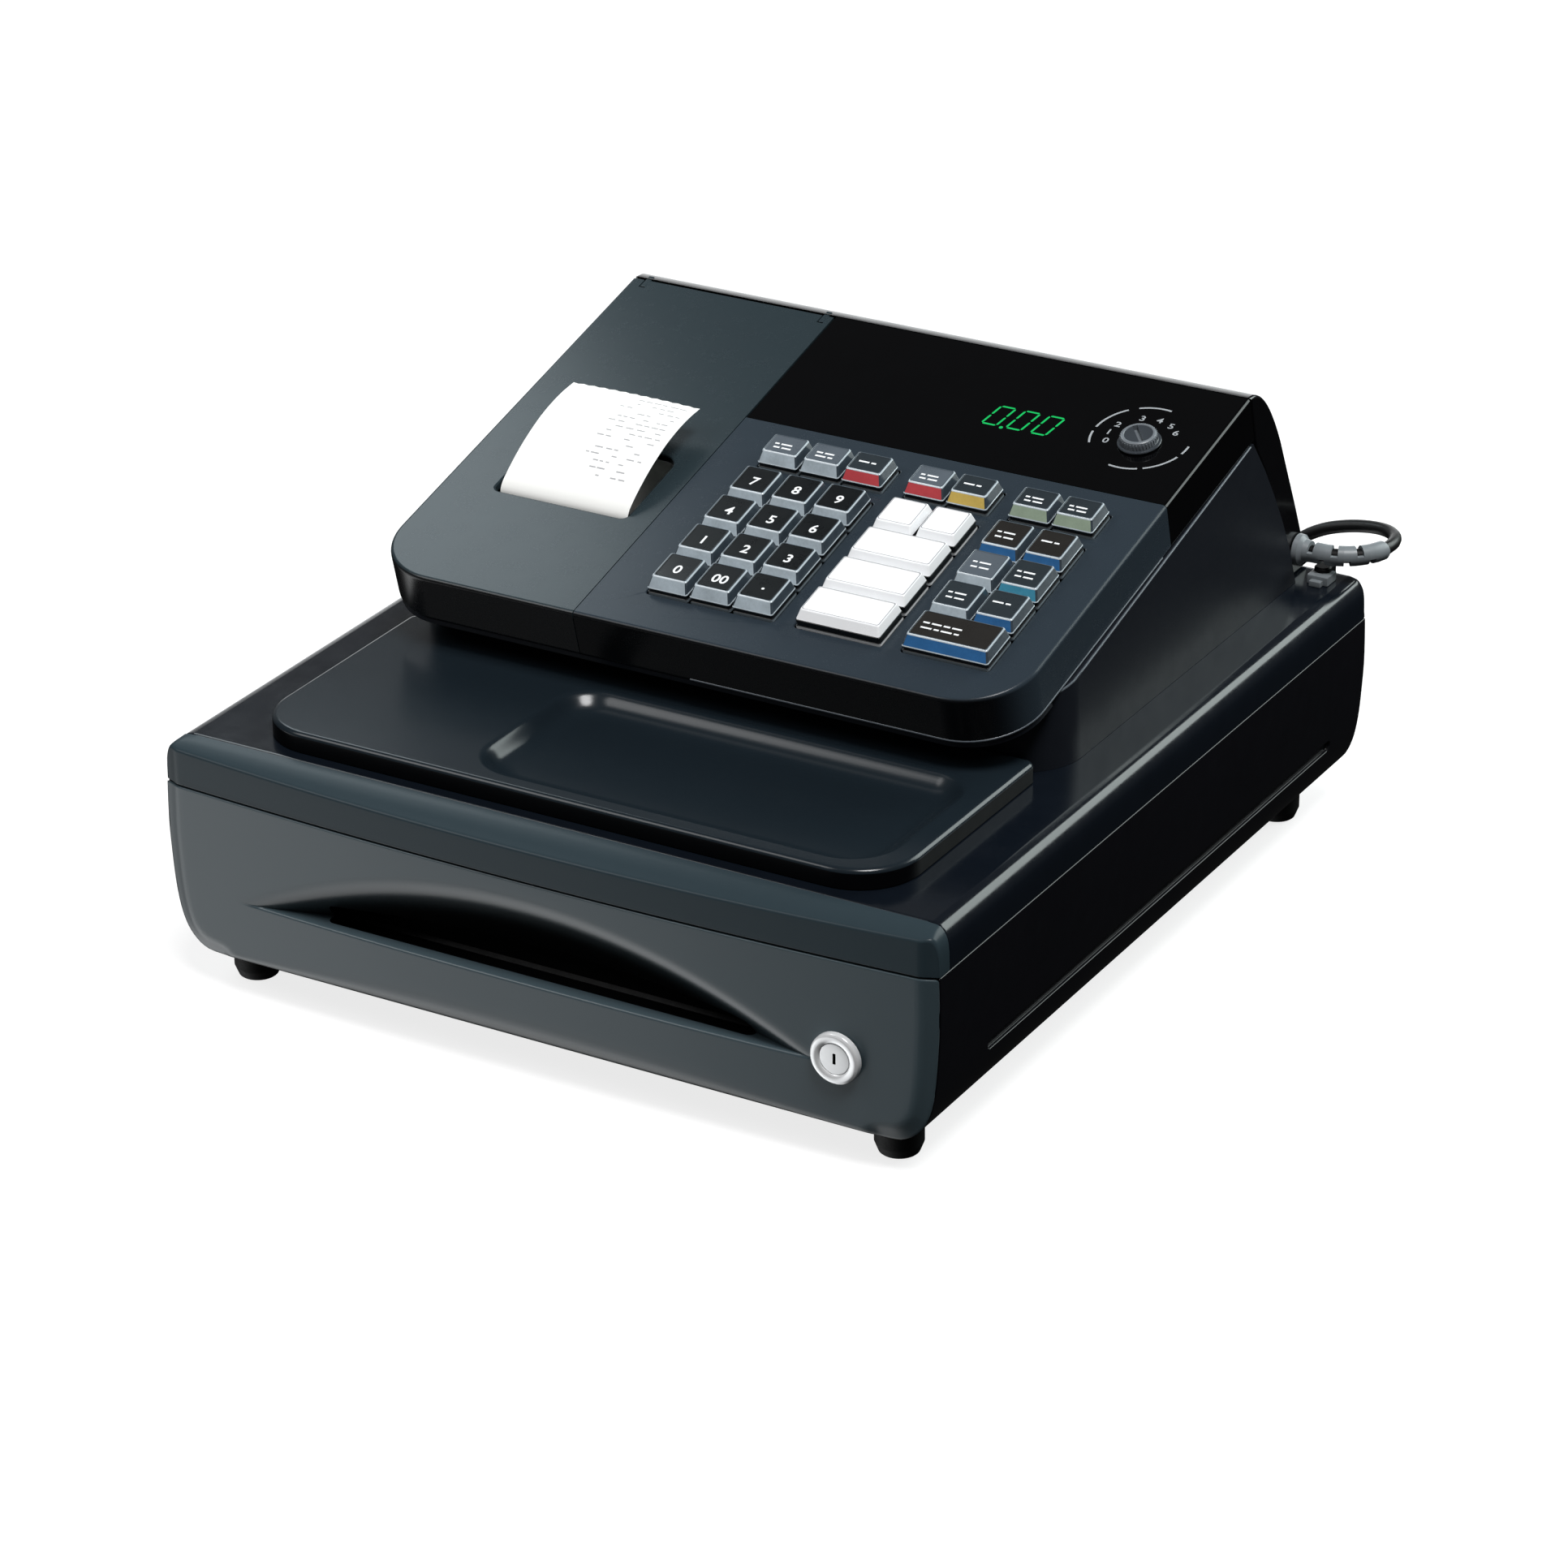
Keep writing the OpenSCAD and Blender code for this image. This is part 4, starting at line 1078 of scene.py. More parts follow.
def tray_plate():
    b = Build()
    n = 14

    def loop(d, z):
        return b.ring([(x, y, z) for x, y in rrect(-134, 134, -157, -46.6, 24, 4, n, d)])

    def dish(d, z):
        return b.ring([(x, y, z) for x, y in rrect(-45, 124, -149, -72, 19, 16, n, d)])
    rings = [loop(0.4, 98.1), loop(0, 98.5)] + [loop(0, z) for z in (101, 103.6)]
    for i in range(1, 8):
        a = rad(90 * i / 7)
        rings.append(loop(2.1 * (1 - math.cos(a)), 103.9 + 2.1 * math.sin(a)))
    b.skin(rings)
    b.cap(rings[0], flip=True)
    # dish: rounded rim, soft wall, then a shallow floor
    sec = []
    for i in range(0, 7):
        a = rad(90 - 70 * i / 6)
        sec.append((-1.9 + 1.9 * math.cos(a) + 0.2, 106 - 1.9 + 1.9 * math.sin(a)))
    sec = [(-1.7, 106.0), (-0.9, 105.93), (-0.1, 105.7), (0.7, 105.25), (1.5, 104.6), (2.3, 103.85), (3.2, 103.0), (4.2, 102.15), (5.3, 101.4), (6.6, 100.75), (8.2, 100.25), (10.0, 99.96), (12.5, 99.86)]
    drs = [dish(d, z) for d, z in sec]
    b.fill([rings[-1], drs[0]])
    b.skin(drs)
    b.cap(drs[-1])
    ob = b.done("tray_plate_shell", [M["tray"], M["tray_wall"]], "register", ("tray_plate",), sharp=35)
    # the tray's steep faces get the painted-shade copy of the tray plastic
    for p in ob.data.polygons:
        if p.normal.z < 0.25:
            p.material_index = 1
    return ob


tray_plate()


# ---------------------------------------------------------------- upper case
HALF = 135.8
UP = Vector((0, -ST, CT))
BACKV = Vector((0, CT, ST))


def lower_case():
    def solid(grow, z0, wtop, y0, r, name):
        b = Build()
        rings = []
        zs = [z0] + [z0 + 6 * i for i in range(1, 20)]
        for z in zs:
            hw = 139.2 + (136.0 - 139.2) * (z - 98) / 70.0 - grow
            rings.append(b.ring([(x, y, z) for x, y in rrect(-hw, hw, y0, 200, r, 2, 12)]))
        b.skin(rings)
        b.cap(rings[0], flip=True)
        b.cap(rings[-1])
        ob = raw(b, name, [M["lower"]])
        cut_plane(ob, slope(0, 0, wtop), UP)
        return ob
    ob = solid(0, 98.1, -19.7, -46, 24, "lower_case_shell")
    seam = [(123, 167.9), (133, 153.5), (141, 140), (147.8, 127), (153.5, 114), (158.4, 98.1)]
    for (y0, z0), (y1, z1) in zip(seam, seam[1:]):
        cut_plane(ob, (0, y0, z0), Vector((0, -(z1 - z0), (y1 - y0))).normalized())
    inner = solid(2.5, 100.8, 30, -43.5, 21.5, "inner")
    cut(ob, inner)
    return finish_mesh(ob, "register", ("lower_case",), sharp=30)


lower_case()


def lower_bead():
    """The rounded upper edge of the lower case, just under the covers, in a lighter tone as a painted highlight."""
    def top(y):
        return 136.9 + math.tan(T) * (y + 76) - 19.7 / CT

    def half(z):
        return 139.2 - 3.2 * (z - 98) / 70.0
    pts = []
    ys = [121 - 6 * i for i in range(24)]
    for y in ys:
        pts.append((half(top(y)) - 0.32, y, top(y) - 0.3))
    for i in range(1, 13):
        a = rad(-90 * i / 12)
        y = -22 + 23.7 * math.sin(a)
        pts.append((half(top(y)) - 24 + 23.7 * math.cos(a), y, top(y) - 0.3))
    pts += [(x, -45.7, top(-45.7) - 0.3) for x in range(100, -101, -20)]
    left = [(-x, y, z) for x, y, z in reversed(pts[:36])]
    pts += left
    b = Build()
    b.tube(pts, 0.48, 10, True, 0, (0, 0, 1))
    return b.done("lower_case_bead", M["trim"], "register", (), sharp=50)


lower_bead()


def roof():
    b = Build()
    rings = []
    for w, d in ((-22.0, 0.3), (-21.7, 0), (-19.6, 0)):
        rings.append(b.ring([slope(u, v, w) for u, v in rrect(-HALF + 0.3, HALF - 0.3, 0.6, 80, 26.5, 1, 12, d)]))
    b.skin(rings)
    b.cap(rings[0], flip=True)
    b.cap(rings[-1])
    ob = raw(b, "case_roof", [M["lower"]])
    cut_plane(ob, slope(0, 33.5, 0), BACKV)
    return finish_mesh(ob, "register", (), sharp=30)


roof()
boxes("case_posts", M["drawer"], "register", [(x - 3, x + 3, -20, -14, 100.4, 134.2, 0.4) for x in (-30, 30, 122)] + [(x - 3, x + 3, 78, 84, 100.4, 159.5, 0.4) for x in (-30, 122)])

COL_A, COL_B, COL_C = (-14.3, 3.8, 21.9), (48.4, 66.5), (92.4, 110.5)
ROW = (29.3, 48.6, 67.9, 87.2)
ROW_TOP = 110.5
PU, PV = 18.1, 19.3
KW, KD, KDT = 17.1, 18.3, 14.6
WELLS = []
for cols in (COL_A, COL_B, COL_C):
    WELLS.append((cols[0] - PU / 2, cols[-1] + PU / 2, ROW[0] - PV / 2, ROW[3] + PV / 2))
for cols in (COL_A, COL_B, COL_C):
    WELLS.append((cols[0] - PU / 2, cols[-1] + PU / 2, ROW_TOP - 7.8, ROW_TOP + 7.8))
MID_B, MID_C = (COL_B[0] + COL_B[1]) / 2, (COL_C[0] + COL_C[1]) / 2
STEMS = [(u, v) for u in COL_A for v in ROW] + [(u, ROW_TOP) for u in COL_A] + [(u, ROW[3]) for u in COL_B] + [(MID_B, ROW[i]) for i in range(3)] + \
    [(u, ROW_TOP) for u in COL_B] + [(u, ROW[i]) for u in COL_C for i in (1, 2, 3)] + [(MID_C, ROW[0])] + [(u, ROW_TOP) for u in COL_C]


def slab_base(name, mat):
    """The upper case's outer shell with rounded edges, open below, before it is parted into covers."""
    def loop(b, d, w):
        return b.ring([slope(u, v, w) for u, v in rrect(-HALF, HALF, 0, 206, 27, 3, 16, d)])
    b = Build()
    F = 1.7
    sec = [(1.0, -19.3), (0.55, -19.24), (0.22, -18.98), (0.04, -18.6), (0, -18.1), (0, -14), (0, -9), (0, -4)]
    sec += [(F * (1 - math.cos(rad(90 * i / 8))), -F + F * math.sin(rad(90 * i / 8))) for i in range(9)]
    rings = [loop(b, d, w) for d, w in sec]
    b.skin(rings)
    b.cap(rings[0], flip=True)
    b.cap(rings[-1])
    ob = raw(b, name, [mat])
    t = Build()
    rings = [loop(t, d, w) for d, w in ((2.5, -30), (2.5, -4.2), (2.75, -3.2), (3.6, -2.5))]
    t.skin(rings)
    t.cap(rings[0], flip=True)
    t.cap(rings[-1])
    cut(ob, raw(t, mats=[mat]))
    return ob


def top_cover():
    ob = slab_base("keyboard_cover", M["cover"])
    cut_plane(ob, slope(-43.3, 0, 0), (-1, 0, 0))
    cut_plane(ob, slope(0, 130.3, 0), BACKV)
    t = Build()
    for w in WELLS:
        t.box(w[0] - 2, w[1] + 2, w[2] - 2, w[3] + 2, -6.2, -1.3, 0, slope)
    cut(ob, raw(t, mats=[M["cover"]]), "UNION")
    t = Build()
    for su, sv in STEMS:
        t.box(su - 6.3, su + 6.3, sv - 5.3, sv + 5.3, -8, -2.9, 0, slope)
    cut(ob, raw(t, mats=[M["cover"]]))
    t = Build()
    for w in WELLS:
        rs = [t.ring([slope(u, v, h) for u, v in rrect(w[0], w[1], w[2], w[3], 1.2, 1.2, 4, d)])
              for d, h in ((-0.55, 1), (-0.55, 0), (-0.3, -0.06), (-0.1, -0.22), (0, -0.55), (0, -3.3), (0.12, -3.6), (0.4, -3.7))]
        t.skin(rs)
        t.cap(rs[0])
        t.cap(rs[-1], flip=True)
    cut(ob, raw(t, mats=[M["cover"]]))
    return finish_mesh(ob, "register", ("top_cover",), sharp=30)


top_cover()


def cover_bead():
    """The rounded lower edge of the keyboard cover's skirt, in a lighter tone as a painted highlight."""
    pts = [(4 + 15 * i, 0.12) for i in range(7)]
    cx, cy, r = HALF - 27, 27, 26.88
    pts += [(cx + r * math.cos(rad(-90 + 5 * i)), cy + r * math.sin(rad(-90 + 5 * i))) for i in range(19)]
    pts += [(HALF - 0.12, 27 + 8 * i) for i in range(1, 13)]
    b = Build()
    b.tube([slope(u, v, -18.7) for u, v in pts], 0.42, 10, True, 0, UP)
    return b.done("keyboard_cover_edge", M["trim"], "register", (), sharp=50)


cover_bead()


def slope_boxes(name, mat, body, slot, items):
    return boxes(name, mat, body, items, slope)


def ledge():
    b = Build()
    outer = [(-43.3, 124), (132.9, 124), (132.9, 199), (-43.3, 199)]
    hole1 = rrect(24, 82, 150, 176, 1, 1, 3)
    hole2 = [(108.5 + 7 * math.cos(2 * math.pi * i / 32), 163 + 7 * math.sin(2 * math.pi * i / 32)) for i in range(32)]
    tops, bots = [], []
    for lp in (outer, hole1, hole2):
        t = b.ring([slope(u, v, -2.75) for u, v in lp])
        q = b.ring([slope(u, v, -5) for u, v in lp])
        b.skin([q, t])
        tops.append(t)
        bots.append(q)
    b.fill(tops)
    b.fill(bots)
    return b.done("window_ledge", M["lower"], "register", (), sharp=30)


ledge()


def display_window():
    ob = slab_base("display_window_shell", M["window"])
    t = Build()
    rs = [t.ring([slope(108.5 + r * math.cos(2 * math.pi * i / 48), 163 + r * math.sin(2 * math.pi * i / 48), w) for i in range(48)])
          for r, w in ((5.5, 2), (5.5, 0), (5.22, -0.12), (5.1, -0.5), (5.1, -6))]
    t.skin(rs)
    t.cap(rs[0])
    t.cap(rs[-1], flip=True)
    cut(ob, raw(t, mats=[M["window"]]))
    cut_plane(ob, slope(-42.9, 0, 0), (-1, 0, 0))
    cut_plane(ob, slope(0, 130.6, 0), -BACKV)
    cut_plane(ob, slope(0, 201.7, 0), BACKV)
    return finish_mesh(ob, "register", ("display_window",), sharp=30)


display_window()
OPEN = (-113.5, -54.5, 57.6, 98)


def printer_cover():
    ob = slab_base("printer_cover_shell", M["printer"])
    t = Build()
    rs = [t.ring([slope(u, v, w) for u, v in rrect(*OPEN, 3.0, 6.0, 8, d)]) for d, w in ((-0.9, 2), (-0.9, 0), (-0.5, -0.1), (-0.15, -0.4), (0, -0.95), (0, -6))]
    t.skin(rs)
    t.cap(rs[0])
    t.cap(rs[-1], flip=True)
    cut(ob, raw(t, mats=[M["printer"]]))
    cut_plane(ob, slope(-43.7, 0, 0), (1, 0, 0))
    cut_plane(ob, slope(0, 200.9, 0), BACKV)
    t = Build()
    t.box(-141, -130.6, 195, 203, -31, -6, 0, slope)
    cut(ob, raw(t, mats=[M["printer"]]))
    for u0, u1 in ((-130.2, -127.4), (-48.8, -46.0)):
        t = Build()
        t.box(u0, u1, 196, 203, -6, 2, 0, slope)
        cut(ob, raw(t, mats=[M["printer"]]))
    finish_mesh(ob, "printer_lid", ("printer_cover",), sharp=30)
    b = Build()
    # tear bar: a bevelled edge with fine teeth
    n = 57
    a, c, d, e = [], [], [], []
    for i in range(2 * n + 1):
        u = -113 + 58.0 * i / (2 * n)
        tip = 0.35 if i % 2 else 0.0
        a.append(slope(u, 54.8, -2.2))
        c.append(slope(u, 57.45 - tip, -1.4))
        d.append(slope(u, 57.5 - tip, -2.4))
        e.append(slope(u, 54.8, -5.8))
    ra, rc, rd, re = (b.ring(x) for x in (a, c, d, e))
    b.skin([ra, rc, rd, re, ra], closed=False)
    b.face([ra[0], rc[0], rd[0], re[0]])
    b.face([ra[-1], re[-1], rd[-1], rc[-1]])
    for u in (-126.6, -57.6):
        prof = [(1.06, 0), (2.0, 0), (2.2, 0.2), (2.2, 7.8), (2.0, 8), (1.06, 8), (1.06, 0)]
        b.lathe(prof, (1, 0, 0), slope(u, 199, -2.2), 24)
    b.done("tear_bar", M["steel"], "printer_lid", (), sharp=30)


printer_cover()

REAR_OUT = [(119.8, 187.5), (124, 187.3), (129, 185.4), (134, 181.6), (138.5, 176.6), (143, 170.3), (148, 161.8), (154, 149.3), (160, 136.8), (166, 124), (171.5, 111.6), (177.4, 98.4)]
REAR_IN = [(100, 184.6), (124, 184.3), (128, 182.9), (132.2, 179.7), (136.4, 175), (140.8, 168.8), (145.7, 160.5), (151.7, 148), (157.7, 135.6), (163.7, 122.8), (169.2, 110.4), (173.4, 101), (100, 101)]


def rear_cover():
    top = [(p.x, p.y) for p in catmull([(y, z, 0) for y, z in REAR_OUT], 2.5)]
    front = [(159, 98.4), (154.6, 115), (147.6, 127.2), (141.6, 140.2), (134.6, 152.2), (126.9, 163.2), (124.6, 168.8)]
    ends = ((119.8, 187.5), (177.4, 98.4))
    line = [p for p in top if p in (top[0], top[-1]) or min(math.dist(p, e) for e in ends) > 4.2] + front
    n = len(line)

    def inset(d):
        out = []
        for i in range(n):
            p0, p, p1 = Vector(line[i - 1]), Vector(line[i]), Vector(line[(i + 1) % n])
            t0, t1 = (p - p0).normalized(), (p1 - p).normalized()
            n0, n1 = Vector((t0.y, -t0.x)), Vector((t1.y, -t1.x))
            m = (n0 + n1)
            m = m.normalized() if m.length > 0.2 else n0
            k = min(1 / max(m.dot(n0), 0.4), 1.8)
            out.append(p + m * d * k)
        return out
    b = Build()
    rings = []
    F = 1.5
    # from the end face inwards: the outline grows to its full size
    left = [(-HALF + F * (1 - math.cos(rad(15 * i))), F * (1 - math.sin(rad(15 * i)))) for i in range(7)]
    allx = left + [(-x, d) for x, d in reversed(left)]
    for x, d in allx:
        rings.append(b.ring([(x, p[0], p[1]) for p in inset(d)]))
    b.skin(rings)
    b.cap(rings[0], flip=True)
    b.cap(rings[-1])
    ob = raw(b, "rear_cover_shell", [M["rear"]])
    t = Build()
    r0 = t.ring([(-HALF + 2.5, y, z) for y, z in REAR_IN])
    r1 = t.ring([(HALF - 2.5, y, z) for y, z in REAR_IN])
    t.skin([r0, r1])
    t.cap(r0, flip=True)
    t.cap(r1)
    cut(ob, raw(t, mats=[M["rear"]]))
    t = Build()
    t.lathe([(0, 0), (4.6, 0), (4.6, 30), (0, 30)], (1, 0, 0), (120, 165.5, 109), 32)
    cut(ob, raw(t, mats=[M["rear"]]))
    # vent slots in the back
    t = Build()

    def back(x, p, q):
        return (x, 159.5 + 0.4368 * p + 0.8996 * q, 138.0 - 0.8996 * p + 0.4368 * q)
    for k in range(11):
        t.box(-28 - 8 * k - 1.4, -28 - 8 * k + 1.4, -11, 11, -6, 4, 0.9, back)
    cut(ob, raw(t, mats=[M["rear"]]))
    finish_mesh(ob, "register", ("rear_cover",), sharp=30)
    b = Build()
    for u in (-130, -48.6):
        b.box(u, u + 2.4, 197, 204.4, -3.8, -0.3, 0.25, slope, 1)
    for u, h in ((-128, 9.6), (-58, 10)):
        b.lathe([(0, 0), (0.8, 0), (1, 0.2), (1, h - 0.2), (0.8, h), (0, h)], (1, 0, 0), slope(u, 199, -2.2), 20)
    b.box(-HALF + 0.05, -HALF + 2.5, 195.8, 203.5, -19.3, -7, 0.25, slope)
    b.done("rear_hinge_lugs", [M["rear"], M["printer"]], "register", (), sharp=30)


rear_cover()


def seam_lips():
    """The tongue behind the seam between the lower case and the rear cover, on each side."""
    front = [(157.6, 103), (154.6, 115), (147.6, 127.2), (141.6, 140.2), (134.6, 152.2), (126.9, 163.2), (124.9, 168.0)]
    mid = [(p.x, p.y) for p in catmull([(y, z, 0) for y, z in front], 3.0)]
    b = Build()
    for s in (-1, 1):
        rings = []
        for i, (y, z) in enumerate(mid):
            y0, z0 = mid[max(i - 1, 0)]
            y1, z1 = mid[min(i + 1, len(mid) - 1)]
            ln = math.hypot(y1 - y0, z1 - z0)
            ny, nz = -(z1 - z0) / ln, (y1 - y0) / ln
            xr, xf, xi = HALF - 2.4, 139.2 - 3.2 * (z - 98) / 70.0 - 2.4, HALF - 4.0
            rings.append(b.ring([(s * xi, y - 3 * ny, z - 3 * nz), (s * xr, y - 3 * ny, z - 3 * nz), (s * xf, y + 3 * ny, z + 3 * nz), (s * xi, y + 3 * ny, z + 3 * nz)]))
        b.skin(rings)
        b.cap(rings[0], flip=True)
        b.cap(rings[-1])
    b.done("seam_lips", M["rear"], "register", (), sharp=30)


seam_lips()


# ---------------------------------------------------------------- keys
def key_mats():
    k = {}
    k["label_black"] = plastic("key_label_black", srgb(6, 9, 12), rough=0.3, spec=0.3, coat=0.1, coat_rough=0.08, var=0.12, bump=0.02)
    k["label_dark"] = plastic("key_label_dark", srgb(40, 47, 52), rough=0.3, spec=0.3, coat=0.1, coat_rough=0.08, var=0.12, bump=0.02)
    k["label_brown"] = plastic("key_label_brown", srgb(36, 34, 32), rough=0.3, spec=0.3, coat=0.1, coat_rough=0.08, var=0.12, bump=0.02)
    k["label_grey"] = plastic("key_label_grey", srgb(84, 92, 100), rough=0.3, spec=0.3, coat=0.1, coat_rough=0.08, var=0.12, bump=0.02)
    k["label_white"] = plastic("key_label_white", srgb(247, 247, 248), rough=0.3, coat=0.3, coat_rough=0.08, var=0.02)
    k["bevel"] = plastic("key_bevel_clear", srgb(54, 63, 71), rough=0.2, coat=0.5, coat_rough=0.05, var=0.25, cloud=160, bump=0.02)
    # light bands on the clear caps' edges: painted highlight
    k["rim"] = plastic("key_rim_clear", srgb(182, 193, 200), rough=0.16, coat=0.6, coat_rough=0.04, var=0.12, cloud=160, bump=0.02)
    k["edge"] = plastic("key_edge_clear", srgb(74, 84, 92), rough=0.2, coat=0.3, coat_rough=0.05, var=0.2, cloud=160, bump=0.02)
    k["line"] = plastic("key_label_line", srgb(150, 152, 157), rough=0.3, var=0.05, bump=0.02)
    k["front"] = plastic("key_front_clear", srgb(170, 182, 190), rough=0.2, coat=0.5, coat_rough=0.05, var=0.22, cloud=110, bump=0.02)
    k["bevel_white"] = plastic("key_bevel_white", srgb(243, 244, 246), rough=0.25, coat=0.4, coat_rough=0.06, var=0.03, bump=0.02)
    k["red"] = plastic("key_front_red", srgb(190, 70, 76), rough=0.2, coat=0.6, coat_rough=0.05, var=0.12, cloud=120)
    k["yellow"] = plastic("key_front_yellow", srgb(206, 176, 92), rough=0.2, coat=0.6, coat_rough=0.05, var=0.12, cloud=120)
    k["green"] = plastic("key_front_green", srgb(150, 166, 146), rough=0.2, coat=0.6, coat_rough=0.05, var=0.12, cloud=120)
    k["blue"] = plastic("key_front_blue", srgb(44, 98, 150), rough=0.2, coat=0.6, coat_rough=0.05, var=0.16, cloud=120)
    k["teal"] = plastic("key_front_teal", srgb(64, 140, 168), rough=0.2, coat=0.6, coat_rough=0.05, var=0.16, cloud=120)
    # painted shade in the gaps between the caps
    k["skirt"] = plastic("key_skirt_dark", srgb(12, 15, 18), rough=0.3, var=0.12)
    # light line at the caps' foot: painted highlight
    k["base"] = plastic("key_base_painted_highlight", srgb(132, 144, 152), rough=0.22, coat=0.5, coat_rough=0.06, var=0.10, cloud=160)
    k["ink"] = plastic("key_print_white", srgb(240, 242, 244), rough=0.4, var=0.03)
    return k


KM = key_mats()


def text_loops(txt, size, bold=0.0):
    """A flat mesh of the text from Blender's own font, in mm, centred."""
    c = bpy.data.curves.new("t", "FONT")
    c.body = txt
    c.size = size
    c.align_x = "CENTER"
    c.offset = bold
    c.resolution_u = 3
    o = bpy.data.objects.new("t", c)
    KEEP_OUT.objects.link(o)
    dg = bpy.context.evaluated_depsgraph_get()
    dg.update()
    me = bpy.data.meshes.new_from_object(o.evaluated_get(dg))
    vs = [(v.co.x, v.co.y) for v in me.vertices]
    fs = [list(p.vertices) for p in me.polygons]
    bpy.data.objects.remove(o)
    bpy.data.curves.remove(c)
    bpy.data.meshes.remove(me)
    if vs:
        x0, x1 = min(v[0] for v in vs), max(v[0] for v in vs)
        y0, y1 = min(v[1] for v in vs), max(v[1] for v in vs)
        vs = [(x - (x0 + x1) / 2, y - (y0 + y1) / 2) for x, y in vs]
    return vs, fs


def add_flat(b, vs, fs, place, lift, thick, mat):
    """A printed shape as a thin closed plate; place(x, y, h) gives the point."""
    top = [b.bm.verts.new(Vector(place(x, y, lift)) * MM) for x, y in vs]
    bot = [b.bm.verts.new(Vector(place(x, y, lift - thick)) * MM) for x, y in vs]
    count = {}
    for f in fs:
        b.face([top[i] for i in f], mat)
        b.face([bot[i] for i in reversed(f)], mat)
        for i in range(len(f)):
            e = (f[i], f[(i + 1) % len(f)])
            count[e] = 1
    for (i, j) in list(count):
        if (j, i) not in count:
            b.face([top[j], top[i], bot[i], bot[j]], mat)


def key(name, u, v, w, d, label, front, bevel="bevel", digit=None, bars=0, white=False):
    b = Build()
    mats = [KM[label], KM[bevel if not white else "bevel_white"], KM[front], KM["rim"] if not white else KM["bevel_white"], KM["skirt"], KM["base"] if not white else KM["bevel_white"], KM["ink"], KM["edge"] if not white else KM["line"]]
    top = d < 16
    fr = 3.0 if not top else 3.0

    def ring(a, f, g, h, r=0.9):
        return b.ring([slope(u + x, v + y, h) for x, y in rrect(-w / 2 + a, w / 2 - a, -d / 2 + f, d / 2 - g, r, r, 4)])
    L = [(0.35, 0.35, 0.35, -1.0), (0.0, 0.0, 0.0, -0.7), (0.0, 0.0, 0.0, 0.35), (0.3, 0.3, 0.3, 0.5), (0.36, 0.36, 0.36, 1.9), (0.06, 0.06, 0.06, 2.05),
         (0.02, 0.02, 0.02, 2.35), (0.2, 0.28, 0.14, 2.6), (1.15, fr - 0.4, 0.72, 5.9), (1.3, fr - 0.1, 0.86, 6.2), (1.6, fr + 0.2, 1.1, 6.38), (1.95, fr + 0.5, 1.4, 6.38), (2.05, fr + 0.6, 1.5, 6.26), (2.5, fr + 1.1, 1.9, 6.22)]
    mm = [5, 5, 4, 4, 4, 4 if white else 3, 4 if white else 3, 1, 3, 3, 7, 0, 0]
    if white:
        L[5:8] = [(0.12, 0.12, 0.12, 2.1), (0.1, 0.16, 0.1, 3.0), (0.25, 0.45, 0.2, 3.15)]
    rings = [ring(*x) for x in L]
    n = len(rings[0])
    for k, (p, q) in enumerate(zip(rings, rings[1:])):
        for i in range(n):
            j = (i + 1) % n
            f = b.face([p[i], p[j], q[j], q[i]], mm[k])
            if f and k == 7:
                mid = (p[i].co + p[j].co) / 2 / MM
                # the front bevel shows the colour of the insert
                if abs(p[i].co.z - p[j].co.z) / MM < 0.02 and mid.y < slope(u, v - d / 2 + 1.2, 2.6)[1]:
                    f.material_index = 2
    b.cap(rings[0], 4, True)
    b.cap(rings[-1], 0)
    b.box(-6, 6, -5, 5, -10.4, -0.9, 0.3, lambda x, y, z: slope(u + x, v + y, z), 4)
    cy = -d / 2 + (d + fr - 1.4) / 2
    if digit:
        vs, fs = text_loops(digit, 6.6 if digit != "." else 8, 0.12)
        add_flat(b, vs, fs, lambda x, y, h: slope(u + x + 0.2, v + cy - 0.8 + y, h), 6.27, 0.1, 6)
    if bars:
        wide = w > 20
        left, right = -w / 2 + 4.0, w / 2 - 3.8
        rows = (cy + 0.9, cy - 2.0) if not top else (cy + 0.3, cy - 1.9)
        for r, yy in enumerate(rows[:2 if bars > 1 else 1]):
            x = left + (0.4 if r else 0.0)
            seq = ((2.6, 3.9), (4.4, 2.0), (1.8, 4.6))[(bars + r) % 3]
            k = 0
            while x < right - 1.0 and k < (2 if not wide else 4):
                ln = min(seq[k % 2], right - x)
                vs = [(x, yy - 0.42), (x + ln, yy - 0.42), (x + ln, yy + 0.42), (x, yy + 0.42)]
                add_flat(b, vs, [[0, 1, 2, 3]], lambda px, py, h: slope(u + px, v + py, h), 6.28, 0.09, 6)
                x += ln + 0.9
                k += 1
    ob = b.done(name + "_cap", mats, name.replace("key_", "button_"), (name,), sharp=26)
    return ob


NUM = [("key_0", 0, 0, "0"), ("key_00", 1, 0, "00"), ("key_point", 2, 0, "."), ("key_1", 0, 1, "1"), ("key_2", 1, 1, "2"), ("key_3", 2, 1, "3"),
       ("key_4", 0, 2, "4"), ("key_5", 1, 2, "5"), ("key_6", 2, 2, "6"), ("key_7", 0, 3, "7"), ("key_8", 1, 3, "8"), ("key_9", 2, 3, "9")]
for nm, i, j, t in NUM:
    key(nm, COL_A[i], ROW[j], KW, KD, "label_black", "front", digit=t)
WIDE = KW + PU
for nm, u, v, w in (("key_dept_1", MID_B, ROW[0], WIDE), ("key_dept_2", MID_B, ROW[1], WIDE), ("key_dept_3", MID_B, ROW[2], WIDE), ("key_dept_4", COL_B[0], ROW[3], KW), ("key_dept_5", COL_B[1], ROW[3], KW)):
    key(nm, u, v, w, KD, "label_white", "bevel_white", white=True)
key("key_feed", COL_A[0], ROW_TOP, KW, KDT, "label_grey", "front", bars=2)
key("key_receipt", COL_A[1], ROW_TOP, KW, KDT, "label_grey", "front", bars=3)
key("key_clear", COL_A[2], ROW_TOP, KW, KDT, "label_dark", "red", bars=1)
key("key_void", COL_B[0], ROW_TOP, KW, KDT, "label_grey", "red", bars=2)
